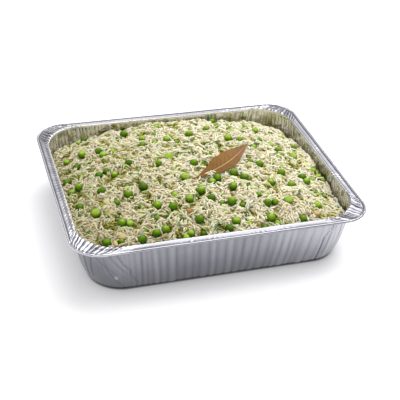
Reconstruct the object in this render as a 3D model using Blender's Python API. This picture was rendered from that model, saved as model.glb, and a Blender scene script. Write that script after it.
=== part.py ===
# Foil tray meal: a deep pressed-foil catering tray filled with rice and peas,
# with one dried bay leaf lying on the heap.
#
# Millimetres are used for the named sizes; meshes are written in metres.
# Frame: origin at the middle of the base, +Z up, +X along the long side.

import math

import bmesh
import bpy
from mathutils import Vector, noise

MM = 0.001

# ------------------------------------------------------------------ tray sizes
RIM_LENGTH = 323.85        # over the rolled rim, along X (12 3/4 in)
RIM_WIDTH = 263.5          # over the rolled rim, along Y (10 3/8 in)
TRAY_HEIGHT = 65.0         # floor to the top of the rolled rim (2 9/16 in)
RIM_CORNER_R = 33.0        # outer corner of the rolled rim
BEAD_R = 1.4               # rolled edge, radius of the roll
FLANGE_X = 12.1            # rim edge to the inner lip, on the short sides
FLANGE_Y = 10.9            # rim edge to the inner lip, on the long sides
LIP_CORNER_R = 40.0        # corner of the mouth at the inner lip
LIP_DROP = 0.75            # inner lip below the top of the roll
CREASE_DROP = 1.4          # crease beside the roll, below the top of the roll
BASE_LENGTH = 279.0        # outline of the base
BASE_WIDTH = 221.1
BASE_CORNER_R = 36.2
BASE_SHIFT = 2.3           # the soft foil leans: base off centre towards +X
WALL_BOW = 4.0             # the load pushes the walls out at mid height
SHEET = 0.5                # sheet thickness as modelled
FLUTE_LOW = 5.0            # the pressed flutes run between these heights
FLUTE_MID = 32.0
FLUTE_HIGH = 57.0
FLUTE_DEPTH = 0.38         # half depth of a flute on a straight wall
CORNER_FLUTE_DEPTH = 0.72  # half depth of a pleat round a corner
CRIMP = 0.34               # half height of a crimp on the corner flange

SEG_X = 36                 # segments along a long side, two to a flute
SEG_Y = 28                 # segments along a short side
SEG_C = 14                 # segments round a corner

# ------------------------------------------------------------------ heap sizes
CROWN = 70.5               # top of the heap in the middle of the tray
SHOULDER = 3.2             # how suddenly the heap falls away near the walls
GAP = 0.35                 # clearance left between touching pieces
STAND_OFF = 0.65           # further clearance from the pleated, bowed wall
GRID_X = 40                # cells of the heap's top surface
GRID_Y = 32
LUMP = 2.1                 # coarse lumps in the heap
CLUMP = 2.0                # finer ones, about the size of a pea

# where the heap meets the wall: (turn round the tray in eighths, height)
# 0 = middle of the +X side, 2 = middle of the +Y side, going anticlockwise
HEAP_EDGE = (
    (0.00, 52.0), (0.15, 53.0), (0.45, 49.0), (0.78, 41.5), (1.02, 41.5),
    (1.20, 46.0), (1.54, 54.0), (1.80, 58.0), (2.25, 59.0), (2.58, 54.0),
    (2.80, 43.0), (3.00, 42.5), (3.40, 46.5), (4.00, 51.0), (4.60, 52.5),
    (5.00, 50.5), (5.50, 54.0), (6.00, 55.5), (6.50, 54.5), (6.95, 47.0),
    (7.25, 42.5), (7.50, 45.5), (7.75, 48.5),
)

# ------------------------------------------------------------------ leaf sizes
LEAF_LENGTH = 98.0
LEAF_WIDTH = 31.0
LEAF_T = 0.55              # blade thickness as modelled
LEAF_STEM = (-13.0, -32.5)  # stalk end of the leaf, in plan
LEAF_TURN = 33.8           # heading of the midrib, degrees from +X
LEAF_BOW = -5.5            # the midrib curves to the right of that heading
LEAF_FOLD = 2.2            # how far the edges stand above the midrib
LEAF_LIFT = 1.6            # midrib above the heap
LEAF_SEGS = 18
LEAF_HALF = (0.0, 0.5, 1.0)


# ------------------------------------------------------------- shared helpers
def clear_scene():
    for ob in list(bpy.data.objects):
        bpy.data.objects.remove(ob, do_unlink=True)


def material(name, colour, roughness, metallic):
    mat = bpy.data.materials.new(name)
    mat.use_nodes = True
    bsdf = mat.node_tree.nodes["Principled BSDF"]
    bsdf.inputs["Base Color"].default_value = (*colour, 1.0)
    bsdf.inputs["Roughness"].default_value = roughness
    bsdf.inputs["Metallic"].default_value = metallic
    mat.diffuse_color = (*colour, 1.0)
    return mat


def finish(bm, name, mat):
    bmesh.ops.recalc_face_normals(bm, faces=bm.faces)
    mesh = bpy.data.meshes.new(name)
    bm.to_mesh(mesh)
    bm.free()
    ob = bpy.data.objects.new(name, mesh)
    bpy.context.scene.collection.objects.link(ob)
    mesh.materials.append(mat)
    return ob


def smoothstep(t):
    t = min(1.0, max(0.0, t))
    return t * t * (3.0 - 2.0 * t)


def rounded_outline(a, b, r, n_x, n_y, n_c):
    """Anticlockwise rounded rectangle: (x, y, nx, ny, in_corner) per vertex.

    Every side starts at the end of the corner before it, so outlines made
    with the same counts match vertex for vertex.
    """
    out = []
    quarters = (
        (a, b, 0.0, n_y), (-a, b, 90.0, n_x), (-a, -b, 180.0, n_y), (a, -b, 270.0, n_x))
    for k, (sx, sy, turn, n_side) in enumerate(quarters):
        cx, cy = math.copysign(a - r, sx), math.copysign(b - r, sy)
        t0 = math.radians(turn)
        normal = (math.cos(t0), math.sin(t0))
        # the straight side that leads up to this corner
        px, py = quarters[k - 1][0], quarters[k - 1][1]
        qx, qy = math.copysign(a - r, px), math.copysign(b - r, py)
        x0, y0 = qx + r * normal[0], qy + r * normal[1]
        x1, y1 = cx + r * normal[0], cy + r * normal[1]
        for i in range(n_side):
            f = i / n_side
            out.append((x0 + (x1 - x0) * f, y0 + (y1 - y0) * f, *normal, i == 0))
        for i in range(n_c):
            t = t0 + math.radians(90.0) * i / n_c
            nx, ny = math.cos(t), math.sin(t)
            out.append((cx + r * nx, cy + r * ny, nx, ny, True))
    return out


# ------------------------------------------------------------------- the tray
LIP_Z = TRAY_HEIGHT - LIP_DROP
LIP_A = RIM_LENGTH / 2 - FLANGE_X
LIP_B = RIM_WIDTH / 2 - FLANGE_Y


def wall(z, inset):
    """Half length, half width and corner radius of the wall at a height."""
    f = z / LIP_Z
    grow = WALL_BOW * 4.0 * f * (1.0 - f) - inset
    a = BASE_LENGTH / 2 + (LIP_A - BASE_LENGTH / 2) * f
    b = BASE_WIDTH / 2 + (LIP_B - BASE_WIDTH / 2) * f
    r = BASE_CORNER_R + (LIP_CORNER_R - BASE_CORNER_R) * f
    return a + grow, b + grow, r + grow


def lean(z):
    """How far the tray's middle has moved towards +X at a height."""
    return BASE_SHIFT * max(0.0, 1.0 - z / LIP_Z)


def rim(inset):
    return RIM_LENGTH / 2 - inset, RIM_WIDTH / 2 - inset, RIM_CORNER_R - inset


def flange(f, grow=0.0):
    """Between the crease beside the roll (0) and the inner lip (1)."""
    a0, b0, r0 = rim(2.0 * BEAD_R)
    return (a0 + (LIP_A + grow - a0) * f, b0 + (LIP_B + grow - b0) * f,
            r0 + (LIP_CORNER_R + grow - r0) * f)


def flute_offset(i, in_corner):
    """Alternate vertices stand out and in, each flute a little unlike the next."""
    depth = CORNER_FLUTE_DEPTH if in_corner else FLUTE_DEPTH
    uneven = 0.75 + 0.5 * noise.noise(Vector((i * 0.73, 4.1, 0.0)))
    return depth * uneven * (1.0 if i % 2 else -1.0)


def build_tray():
    bm = bmesh.new()

    def full_ring(size, z, flute=0.0, crimp=0.0):
        ring = []
        for i, (x, y, nx, ny, c) in enumerate(rounded_outline(*size, SEG_X, SEG_Y, SEG_C)):
            d = flute_offset(i, c) * flute
            up = crimp * (1.0 if i % 2 else -1.0) if c else 0.0
            ring.append(bm.verts.new(
                ((x + nx * d + lean(z)) * MM, (y + ny * d) * MM, (z + up) * MM)))
        return ring

    def corner_ring(size, z, crimp=0.0):
        """A ring with vertices round the corners only; its sides are straight."""
        ring = []
        for i, (x, y, nx, ny, c) in enumerate(rounded_outline(*size, 1, 1, SEG_C)):
            inner = (i % (SEG_C + 1)) not in (0, 1)
            up = crimp * (1.0 if i % 2 else -1.0) if inner else 0.0
            ring.append(bm.verts.new((x * MM, y * MM, (z + up) * MM)))
        return ring

    def band(r0, r1):
        n = len(r0)
        for i in range(n):
            j = (i + 1) % n
            bm.faces.new((r0[i], r0[j], r1[j], r1[i]))

    def fan_band(full, few):
        """Join a ring with flutes to one that has vertices at the corners only."""
        sides = (SEG_Y, SEG_X, SEG_Y, SEG_X)
        i, j = 0, 0
        n, m = len(full), len(few)
        for count in sides:
            half = count // 2
            a, b = few[j], few[(j + 1) % m]
            for k in range(count):
                p, q = full[i], full[(i + 1) % n]
                bm.faces.new((p, q, a if k < half else b))
                i += 1
                if k == half - 1:
                    bm.faces.new((q, b, a))
            j += 1
            for k in range(SEG_C):
                bm.faces.new((full[i % n], full[(i + 1) % n], few[(j + 1) % m], few[j % m]))
                i += 1
                j += 1

    def cap(ring, z):
        mid = bm.verts.new((lean(z) * MM, 0.0, z * MM))
        n = len(ring)
        for i in range(n):
            bm.faces.new((mid, ring[i], ring[(i + 1) % n]))

    # outside of the sheet, from the base up to the underside of the flange
    outer = [
        full_ring(wall(0.0, 2.0), 0.0),
        full_ring(wall(1.2, 0.55), 1.2),
        full_ring(wall(FLUTE_LOW, 0.0), FLUTE_LOW, flute=1.0),
        full_ring(wall(FLUTE_MID, 0.0), FLUTE_MID, flute=1.0),
        full_ring(wall(FLUTE_HIGH, 0.0), FLUTE_HIGH, flute=1.0),
        full_ring(wall(LIP_Z - 2.0, 0.0), LIP_Z - 2.0),
        full_ring(wall(LIP_Z, -1.0), LIP_Z - SHEET - 0.15),
    ]
    cap(outer[0], 0.0)
    for r0, r1 in zip(outer, outer[1:]):
        band(r0, r1)
    under = corner_ring(flange(0.55, SHEET), LIP_Z - SHEET - 0.25, crimp=CRIMP)
    fan_band(outer[-1], under)

    # the rolled edge, from the underside of the flange round to the crease
    crease_z = TRAY_HEIGHT - CREASE_DROP
    roll = [under]
    for deg in (-159.0, -125.0, -85.0, -45.0, 0.0, 45.0, 90.0, 135.0, 180.0):
        t = math.radians(deg)
        roll.append(corner_ring(rim(BEAD_R - BEAD_R * math.cos(t)),
                                TRAY_HEIGHT - BEAD_R + BEAD_R * math.sin(t)))
    over = corner_ring(flange(0.55), LIP_Z - 0.25, crimp=CRIMP)
    roll.append(over)
    for r0, r1 in zip(roll, roll[1:]):
        band(r0, r1)

    # over the flange and down the inside of the sheet to the floor
    inner = [
        full_ring(wall(LIP_Z, -0.9), LIP_Z),
        full_ring(wall(LIP_Z - 0.7, 0.1), LIP_Z - 0.7),
        full_ring(wall(FLUTE_HIGH, SHEET), FLUTE_HIGH, flute=1.0),
        full_ring(wall(FLUTE_MID, SHEET), FLUTE_MID, flute=1.0),
        full_ring(wall(FLUTE_LOW, SHEET), FLUTE_LOW, flute=1.0),
        full_ring(wall(SHEET, 2.0 + 0.6 * SHEET), SHEET),
    ]
    fan_band(inner[0], over)
    for r0, r1 in zip(inner, inner[1:]):
        band(r0, r1)
    cap(inner[-1], SHEET)
    return finish(bm, "foil_tray", material("foil", (0.80, 0.80, 0.82), 0.28, 1.0))


# ------------------------------------------------------------------- the heap
def edge_height(x, y):
    """Height at which the heap meets the wall, in the direction of (x, y)."""
    turn = math.atan2(y / LIP_B, x / LIP_A) / (math.pi / 4) % 8.0
    marks = HEAP_EDGE + ((8.0 + HEAP_EDGE[0][0], HEAP_EDGE[0][1]),)
    for (t0, h0), (t1, h1) in zip(marks, marks[1:]):
        if t0 <= turn <= t1:
            return h0 + (h1 - h0) * smoothstep((turn - t0) / (t1 - t0))
    return marks[0][1]


def heap_height(x, y, rho):
    """Surface of the heap; rho runs from 0 in the middle to 1 at the wall."""
    edge = edge_height(x, y)
    base = CROWN - (CROWN - edge) * rho ** SHOULDER
    p = Vector((x / 21.0, y / 21.0, 3.7))
    q = Vector((x / 9.5, y / 9.5, 8.1))
    return base + LUMP * noise.noise(p) + CLUMP * noise.noise(q)


def square_to_tray(u, v, a, b, r):
    """Map a point of the square -1..1 to a rounded rectangle."""
    rho = max(abs(u), abs(v))
    if rho < 1e-9:
        return 0.0, 0.0, 0.0
    su, sv = u / rho, v / rho
    x, y = su * a, sv * b
    # pull the corner of the square on to the arc
    kx, ky = abs(x) - (a - r), abs(y) - (b - r)
    if kx > 0.0 and ky > 0.0:
        big, small = max(kx, ky), min(kx, ky)
        t = math.radians(45.0) * small / big
        if kx >= ky:
            kx, ky = r * math.cos(t), r * math.sin(t)
        else:
            kx, ky = r * math.sin(t), r * math.cos(t)
        x = math.copysign(a - r + kx, x)
        y = math.copysign(b - r + ky, y)
    return x * rho, y * rho, rho


def build_heap():
    bm = bmesh.new()
    clear = SHEET + GAP + STAND_OFF + CORNER_FLUTE_DEPTH
    top = {}
    for j in range(GRID_Y + 1):
        for i in range(GRID_X + 1):
            u, v = 2.0 * i / GRID_X - 1.0, 2.0 * j / GRID_Y - 1.0
            # the wall leans out, so find the outline at the heap's own edge
            x, y, rho = square_to_tray(u, v, *wall(55.0, clear))
            z = heap_height(x, y, rho)
            if rho > 1.0 - 1e-6:
                x, y, _ = square_to_tray(u, v, *wall(z, clear))
                x += lean(z)
            top[i, j] = bm.verts.new((x * MM, y * MM, z * MM))
    for j in range(GRID_Y):
        for i in range(GRID_X):
            corners = (top[i, j], top[i + 1, j], top[i + 1, j + 1], top[i, j + 1])
            if (i + j) % 2:
                corners = corners[1:] + corners[:1]
            bm.faces.new((corners[0], corners[1], corners[2]))
            bm.faces.new((corners[0], corners[2], corners[3]))

    # the outer boundary of the grid, walked once round
    walk = [(i, 0) for i in range(GRID_X)]
    walk += [(GRID_X, j) for j in range(GRID_Y)]
    walk += [(i, GRID_Y) for i in range(GRID_X, 0, -1)]
    walk += [(0, j) for j in range(GRID_Y, 0, -1)]
    low = SHEET + GAP
    rings = [[top[key] for key in walk]]
    for z, inset in ((FLUTE_MID, clear), (FLUTE_LOW + 0.5, clear), (low, clear + 1.6)):
        ring = []
        for i, j in walk:
            u, v = 2.0 * i / GRID_X - 1.0, 2.0 * j / GRID_Y - 1.0
            x, y, _ = square_to_tray(u, v, *wall(z, inset))
            ring.append(bm.verts.new(((x + lean(z)) * MM, y * MM, z * MM)))
        rings.append(ring)
    for r0, r1 in zip(rings, rings[1:]):
        n = len(r0)
        for k in range(n):
            m = (k + 1) % n
            bm.faces.new((r0[k], r1[k], r1[m], r0[m]))
    mid = bm.verts.new((lean(low) * MM, 0.0, low * MM))
    n = len(rings[-1])
    for k in range(n):
        bm.faces.new((mid, rings[-1][(k + 1) % n], rings[-1][k]))
    return finish(bm, "rice_heap", material("cooked_rice", (0.66, 0.60, 0.43), 0.55, 0.0))


# ------------------------------------------------------------------- the leaf
def build_leaf():
    bm = bmesh.new()
    turn = math.radians(LEAF_TURN)
    along = (math.cos(turn), math.sin(turn))
    across = (-along[1], along[0])
    a, b, r = wall(55.0, SHEET + GAP + STAND_OFF + CORNER_FLUTE_DEPTH)

    def ground(x, y):
        # highest of the heap round about, so the stiff leaf clears its lumps
        best = 0.0
        for dx in (-4.0, 0.0, 4.0):
            for dy in (-4.0, 0.0, 4.0):
                px, py = x + dx, y + dy
                rho = max(abs(px) / a, abs(py) / b)
                best = max(best, heap_height(px, py, rho))
        return best

    mids = []
    for k in range(LEAF_SEGS + 1):
        f = k / LEAF_SEGS
        bow = LEAF_BOW * math.sin(math.pi * f)
        s = LEAF_LENGTH * f
        mids.append((LEAF_STEM[0] + along[0] * s + across[0] * bow,
                     LEAF_STEM[1] + along[1] * s + across[1] * bow, f))
    rest = max(ground(x, y) for x, y, _ in mids)

    top, bottom = [], []
    for x, y, f in mids:
        # a lance-shaped blade: a short stalk, widest before the middle, long tip
        blade = max(0.0, (f - 0.06) / 0.94)
        half = LEAF_WIDTH / 2 * (math.sin(math.pi * blade ** 0.86) ** 0.82 if 0 < blade < 1 else 0.0)
        half = max(half, 0.75)
        sag = 1.2 * math.sin(math.pi * f)
        tip = 3.0 * smoothstep((f - 0.6) / 0.4)
        z = rest + LEAF_LIFT - sag + tip
        row_top, row_bottom = [], []
        for side in (-1.0, -0.5, 0.0, 0.5, 1.0):
            w = half * side
            up = LEAF_FOLD * (abs(w) / (LEAF_WIDTH / 2)) ** 1.5
            ripple = 0.5 * math.sin(f * 19.0 + side * 1.3) * abs(side)
            px, py = x + across[0] * w, y + across[1] * w
            row_top.append(bm.verts.new((px * MM, py * MM, (z + up + ripple + LEAF_T) * MM)))
            row_bottom.append(bm.verts.new((px * MM, py * MM, (z + up + ripple) * MM)))
        top.append(row_top)
        bottom.append(row_bottom)
    for k in range(LEAF_SEGS):
        for m in range(4):
            bm.faces.new((top[k][m], top[k + 1][m], top[k + 1][m + 1], top[k][m + 1]))
            bm.faces.new((bottom[k][m], bottom[k][m + 1], bottom[k + 1][m + 1], bottom[k + 1][m]))
        for m in (0, 4):
            bm.faces.new((top[k][m], bottom[k][m], bottom[k + 1][m], top[k + 1][m]))
    for k in (0, LEAF_SEGS):
        for m in range(4):
            bm.faces.new((top[k][m], top[k][m + 1], bottom[k][m + 1], bottom[k][m]))
    ob = finish(bm, "bay_leaf", material("dried_leaf", (0.36, 0.17, 0.07), 0.5, 0.0))
    for poly in ob.data.polygons:
        poly.use_smooth = True
    return ob


clear_scene()
build_tray()
build_heap()
build_leaf()
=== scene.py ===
# Foil tray meal: a deep foil catering tray of rice and peas with a bay leaf.
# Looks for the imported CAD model. Lengths below are millimetres unless named
# otherwise; meshes are written in metres, in the CAD's own frame.
import math

import bmesh
import bpy
import numpy as np
from mathutils import Matrix, Vector, noise

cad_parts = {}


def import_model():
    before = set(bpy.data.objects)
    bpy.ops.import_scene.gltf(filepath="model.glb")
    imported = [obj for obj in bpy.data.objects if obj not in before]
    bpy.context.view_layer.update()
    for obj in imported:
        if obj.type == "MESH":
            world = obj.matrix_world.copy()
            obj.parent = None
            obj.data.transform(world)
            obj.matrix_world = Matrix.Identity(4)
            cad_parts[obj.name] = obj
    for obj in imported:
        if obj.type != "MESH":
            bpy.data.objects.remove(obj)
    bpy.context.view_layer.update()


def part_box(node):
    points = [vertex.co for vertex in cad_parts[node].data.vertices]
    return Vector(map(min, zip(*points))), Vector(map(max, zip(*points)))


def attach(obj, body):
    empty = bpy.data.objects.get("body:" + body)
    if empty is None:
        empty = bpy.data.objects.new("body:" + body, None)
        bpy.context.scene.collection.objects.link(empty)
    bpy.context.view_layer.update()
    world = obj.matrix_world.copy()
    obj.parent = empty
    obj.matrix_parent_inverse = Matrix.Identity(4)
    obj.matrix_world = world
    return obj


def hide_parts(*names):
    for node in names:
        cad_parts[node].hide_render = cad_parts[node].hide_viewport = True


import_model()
MM = 0.001
rng = np.random.default_rng(20480)

# ------------------------------------------------------------------ sizes
(LO, HI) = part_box("foil_tray")
RIM_A = HI[0] * 1000.0                # half length over the rolled rim
RIM_B = HI[1] * 1000.0                # half width
TOP = HI[2] * 1000.0                  # top of the roll
RIM_R = 33.0
BEAD_R = 1.4
FLANGE_X, FLANGE_Y = 12.1, 10.9
LIP_R = 40.0
LIP_Z = TOP - 0.75
LIP_A, LIP_B = RIM_A - FLANGE_X, RIM_B - FLANGE_Y
BASE_A, BASE_B, BASE_R = 139.5, 110.55, 36.2
BASE_SHIFT, WALL_BOW = 2.3, 4.0
FOIL = 0.22                           # sheet as drawn here

CROWN, SHOULDER = 70.5, 3.2
HEAP_EDGE = (
    (0.00, 52.0), (0.15, 53.0), (0.45, 49.0), (0.78, 41.5), (1.02, 41.5),
    (1.20, 46.0), (1.54, 54.0), (1.80, 58.0), (2.25, 59.0), (2.58, 54.0),
    (2.80, 43.0), (3.00, 42.5), (3.40, 46.5), (4.00, 51.0), (4.60, 52.5),
    (5.00, 50.5), (5.50, 54.0), (6.00, 55.5), (6.50, 54.5), (6.95, 47.0),
    (7.25, 42.5), (7.50, 45.5), (7.75, 48.5),
)


# ------------------------------------------------------------------ helpers
def smooth01(t):
    t = np.clip(t, 0.0, 1.0)
    return t * t * (3.0 - 2.0 * t)


def make_object(name, verts, faces, mat, smooth=True, sizes=None):
    """verts in mm (n,3); faces (m,3) or (m,4) array, or a list of index lists."""
    mesh = bpy.data.meshes.new(name)
    v = np.asarray(verts, dtype=np.float32) * MM
    if isinstance(faces, np.ndarray):
        k = faces.shape[1]
        mesh.vertices.add(len(v))
        mesh.vertices.foreach_set("co", v.ravel())
        mesh.loops.add(faces.size)
        mesh.loops.foreach_set("vertex_index", faces.ravel().astype(np.int32))
        mesh.polygons.add(len(faces))
        mesh.polygons.foreach_set("loop_start", np.arange(0, faces.size, k, dtype=np.int32))
        mesh.polygons.foreach_set("loop_total", np.full(len(faces), k, dtype=np.int32))
        mesh.update(calc_edges=True)
    else:
        mesh.from_pydata([tuple(p) for p in v.tolist()], [], faces)
    mesh.validate()
    if smooth:
        mesh.polygons.foreach_set("use_smooth", np.ones(len(mesh.polygons), dtype=bool))
    mesh.materials.append(mat)
    ob = bpy.data.objects.new(name, mesh)
    bpy.context.scene.collection.objects.link(ob)
    return ob


def point_value(ob, name, values):
    """One grey value per vertex, for the material to read."""
    at = ob.data.color_attributes.new(name=name, type="FLOAT_COLOR", domain="POINT")
    rgba = np.ones((len(values), 4), dtype=np.float32)
    rgba[:, 0] = rgba[:, 1] = rgba[:, 2] = values
    at.data.foreach_set("color", rgba.ravel())


def new_material(name):
    mat = bpy.data.materials.new(name)
    mat.use_nodes = True
    nt = mat.node_tree
    return mat, nt, nt.nodes["Principled BSDF"]


def node(nt, kind, **values):
    n = nt.nodes.new(kind)
    for key, val in values.items():
        if key in n.inputs:
            n.inputs[key].default_value = val
        else:
            setattr(n, key, val)
    return n


def ramp(nt, stops):
    n = nt.nodes.new("ShaderNodeValToRGB")
    els = n.color_ramp.elements
    while len(els) > 1:
        els.remove(els[-1])
    els[0].position, els[0].color = stops[0][0], (*stops[0][1], 1.0)
    for pos, col in stops[1:]:
        e = els.new(pos)
        e.color = (*col, 1.0)
    return n


# value noise on a lattice, periodic where asked, for fields on numpy arrays
def lattice_noise(x, y, seed, period_x=0):
    g = np.random.default_rng(seed)
    table = g.uniform(-1.0, 1.0, (256, 256))
    xi, yi = np.floor(x).astype(int), np.floor(y).astype(int)
    fx, fy = smooth01(x - xi), smooth01(y - yi)
    if period_x:
        x0, x1 = xi % period_x, (xi + 1) % period_x
    else:
        x0, x1 = xi % 256, (xi + 1) % 256
    y0, y1 = yi % 256, (yi + 1) % 256
    a = table[x0 % 256, y0] * (1 - fx) + table[x1 % 256, y0] * fx
    b = table[x0 % 256, y1] * (1 - fx) + table[x1 % 256, y1] * fx
    return a * (1 - fy) + b * fy


# ------------------------------------------------------------------ heap form
def edge_height(x, y):
    turn = np.mod(np.arctan2(y / LIP_B, x / LIP_A) / (math.pi / 4), 8.0)
    marks = HEAP_EDGE + ((8.0, HEAP_EDGE[0][1]),)
    out = np.full(np.shape(turn), HEAP_EDGE[0][1], dtype=float)
    for (t0, h0), (t1, h1) in zip(marks, marks[1:]):
        m = (turn >= t0) & (turn <= t1)
        out = np.where(m, h0 + (h1 - h0) * smooth01((turn - t0) / (t1 - t0)), out)
    return out


HEAP_A, HEAP_B, HEAP_RR = 148.8, 119.8, 40.4     # wall line at the heap's edge


def rho_of(x, y):
    """0 in the middle of the tray, 1 where the heap meets the wall."""
    x = np.asarray(x, dtype=float) - 0.5
    y = np.asarray(y, dtype=float)
    d = np.maximum(np.hypot(x, y), 1e-6)
    dx, dy = np.abs(x) / d, np.abs(y) / d
    ca, cb = HEAP_A - HEAP_RR, HEAP_B - HEAP_RR
    tx = HEAP_A / np.maximum(dx, 1e-9)
    ty = HEAP_B / np.maximum(dy, 1e-9)
    proj = dx * ca + dy * cb
    disc = np.maximum(proj ** 2 - (ca * ca + cb * cb - HEAP_RR ** 2), 0.0)
    tc = proj + np.sqrt(disc)
    t = np.where(tx * dy <= cb, tx, np.where(ty * dx <= ca, ty, tc))
    return d / t


def heap_height(x, y):
    edge = edge_height(x, y)
    rho = np.clip(rho_of(x, y), 0.0, 1.03)
    return CROWN - (CROWN - edge) * rho ** SHOULDER


def relief(x, y):
    """The heap's lumps, at the scales the solid heap has them."""
    out = np.empty(np.size(x))
    for k, (a, b) in enumerate(zip(np.ravel(x).tolist(), np.ravel(y).tolist())):
        out[k] = (2.1 * noise.noise((a / 21.0, b / 21.0, 3.7))
                  + 2.0 * noise.noise((a / 9.5, b / 9.5, 8.1)))
    return out.reshape(np.shape(x))


def wall_outline_ok(x, y, z, inset):
    """True where (x, y) lies inside the tray wall at height z."""
    f = z / LIP_Z
    grow = WALL_BOW * 4.0 * f * (1.0 - f) - inset
    a = BASE_A + (LIP_A - BASE_A) * f + grow
    b = BASE_B + (LIP_B - BASE_B) * f + grow
    r = BASE_R + (LIP_R - BASE_R) * f + grow
    xs = x - BASE_SHIFT * np.maximum(0.0, 1.0 - f)
    qx, qy = np.abs(xs) - (a - r), np.abs(y) - (b - r)
    d = np.hypot(np.maximum(qx, 0), np.maximum(qy, 0)) + np.minimum(np.maximum(qx, qy), 0) - r
    return d < 0


# ------------------------------------------------------------------ materials
def foil_material():
    mat, nt, bsdf = new_material("foil")
    L = nt.links.new
    tc = node(nt, "ShaderNodeTexCoord")
    soft = node(nt, "ShaderNodeTexNoise", Scale=30.0, Detail=3.0, Roughness=0.5)
    fine = node(nt, "ShaderNodeTexNoise", Scale=260.0, Detail=2.0, Roughness=0.5)
    L(tc.outputs["Object"], soft.inputs["Vector"])
    L(tc.outputs["Object"], fine.inputs["Vector"])
    # painted shade, highlight and reflection: a per-vertex value darkens the outer wall, the foot line and the flange
    # grooves, and lightens the bead, the lip and the inner face
    painted_foil_shade = node(nt, "ShaderNodeAttribute", attribute_name="painted_foil_shade")
    side = ramp(nt, [(0.0, (0.022, 0.022, 0.026)), (0.10, (0.215, 0.215, 0.243)), (0.32, (0.400, 0.400, 0.440)),
                     (0.5, (0.56, 0.56, 0.60)), (1.0, (0.90, 0.89, 0.87))])
    L(painted_foil_shade.outputs["Fac"], side.inputs["Fac"])
    col = ramp(nt, [(0.30, (0.92, 0.92, 0.93)), (0.70, (1.0, 1.0, 1.0))])
    L(soft.outputs["Fac"], col.inputs["Fac"])
    mix = node(nt, "ShaderNodeMix", data_type="RGBA", blend_type="MULTIPLY")
    mix.inputs["Factor"].default_value = 1.0
    L(side.outputs["Color"], mix.inputs["A"])
    L(col.outputs["Color"], mix.inputs["B"])
    L(mix.outputs["Result"], bsdf.inputs["Base Color"])
    rough = node(nt, "ShaderNodeMapRange")
    rough.inputs["From Min"].default_value = 0.3
    rough.inputs["From Max"].default_value = 0.7
    rough.inputs["To Min"].default_value = 0.15
    rough.inputs["To Max"].default_value = 0.27
    L(soft.outputs["Fac"], rough.inputs["Value"])
    L(rough.outputs["Result"], bsdf.inputs["Roughness"])
    # the inner face, wet with oil and starch above the rice, scatters more than it mirrors
    mirror = node(nt, "ShaderNodeMapRange")
    mirror.inputs["From Min"].default_value = 0.75
    mirror.inputs["From Max"].default_value = 1.0
    mirror.inputs["To Min"].default_value = 1.0
    mirror.inputs["To Max"].default_value = 0.50
    L(painted_foil_shade.outputs["Fac"], mirror.inputs["Value"])
    L(mirror.outputs["Result"], bsdf.inputs["Metallic"])
    bump = node(nt, "ShaderNodeBump")
    bump.inputs["Strength"].default_value = 0.08
    bump.inputs["Distance"].default_value = 0.0003
    L(fine.outputs["Fac"], bump.inputs["Height"])
    L(bump.outputs["Normal"], bsdf.inputs["Normal"])
    return mat


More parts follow.
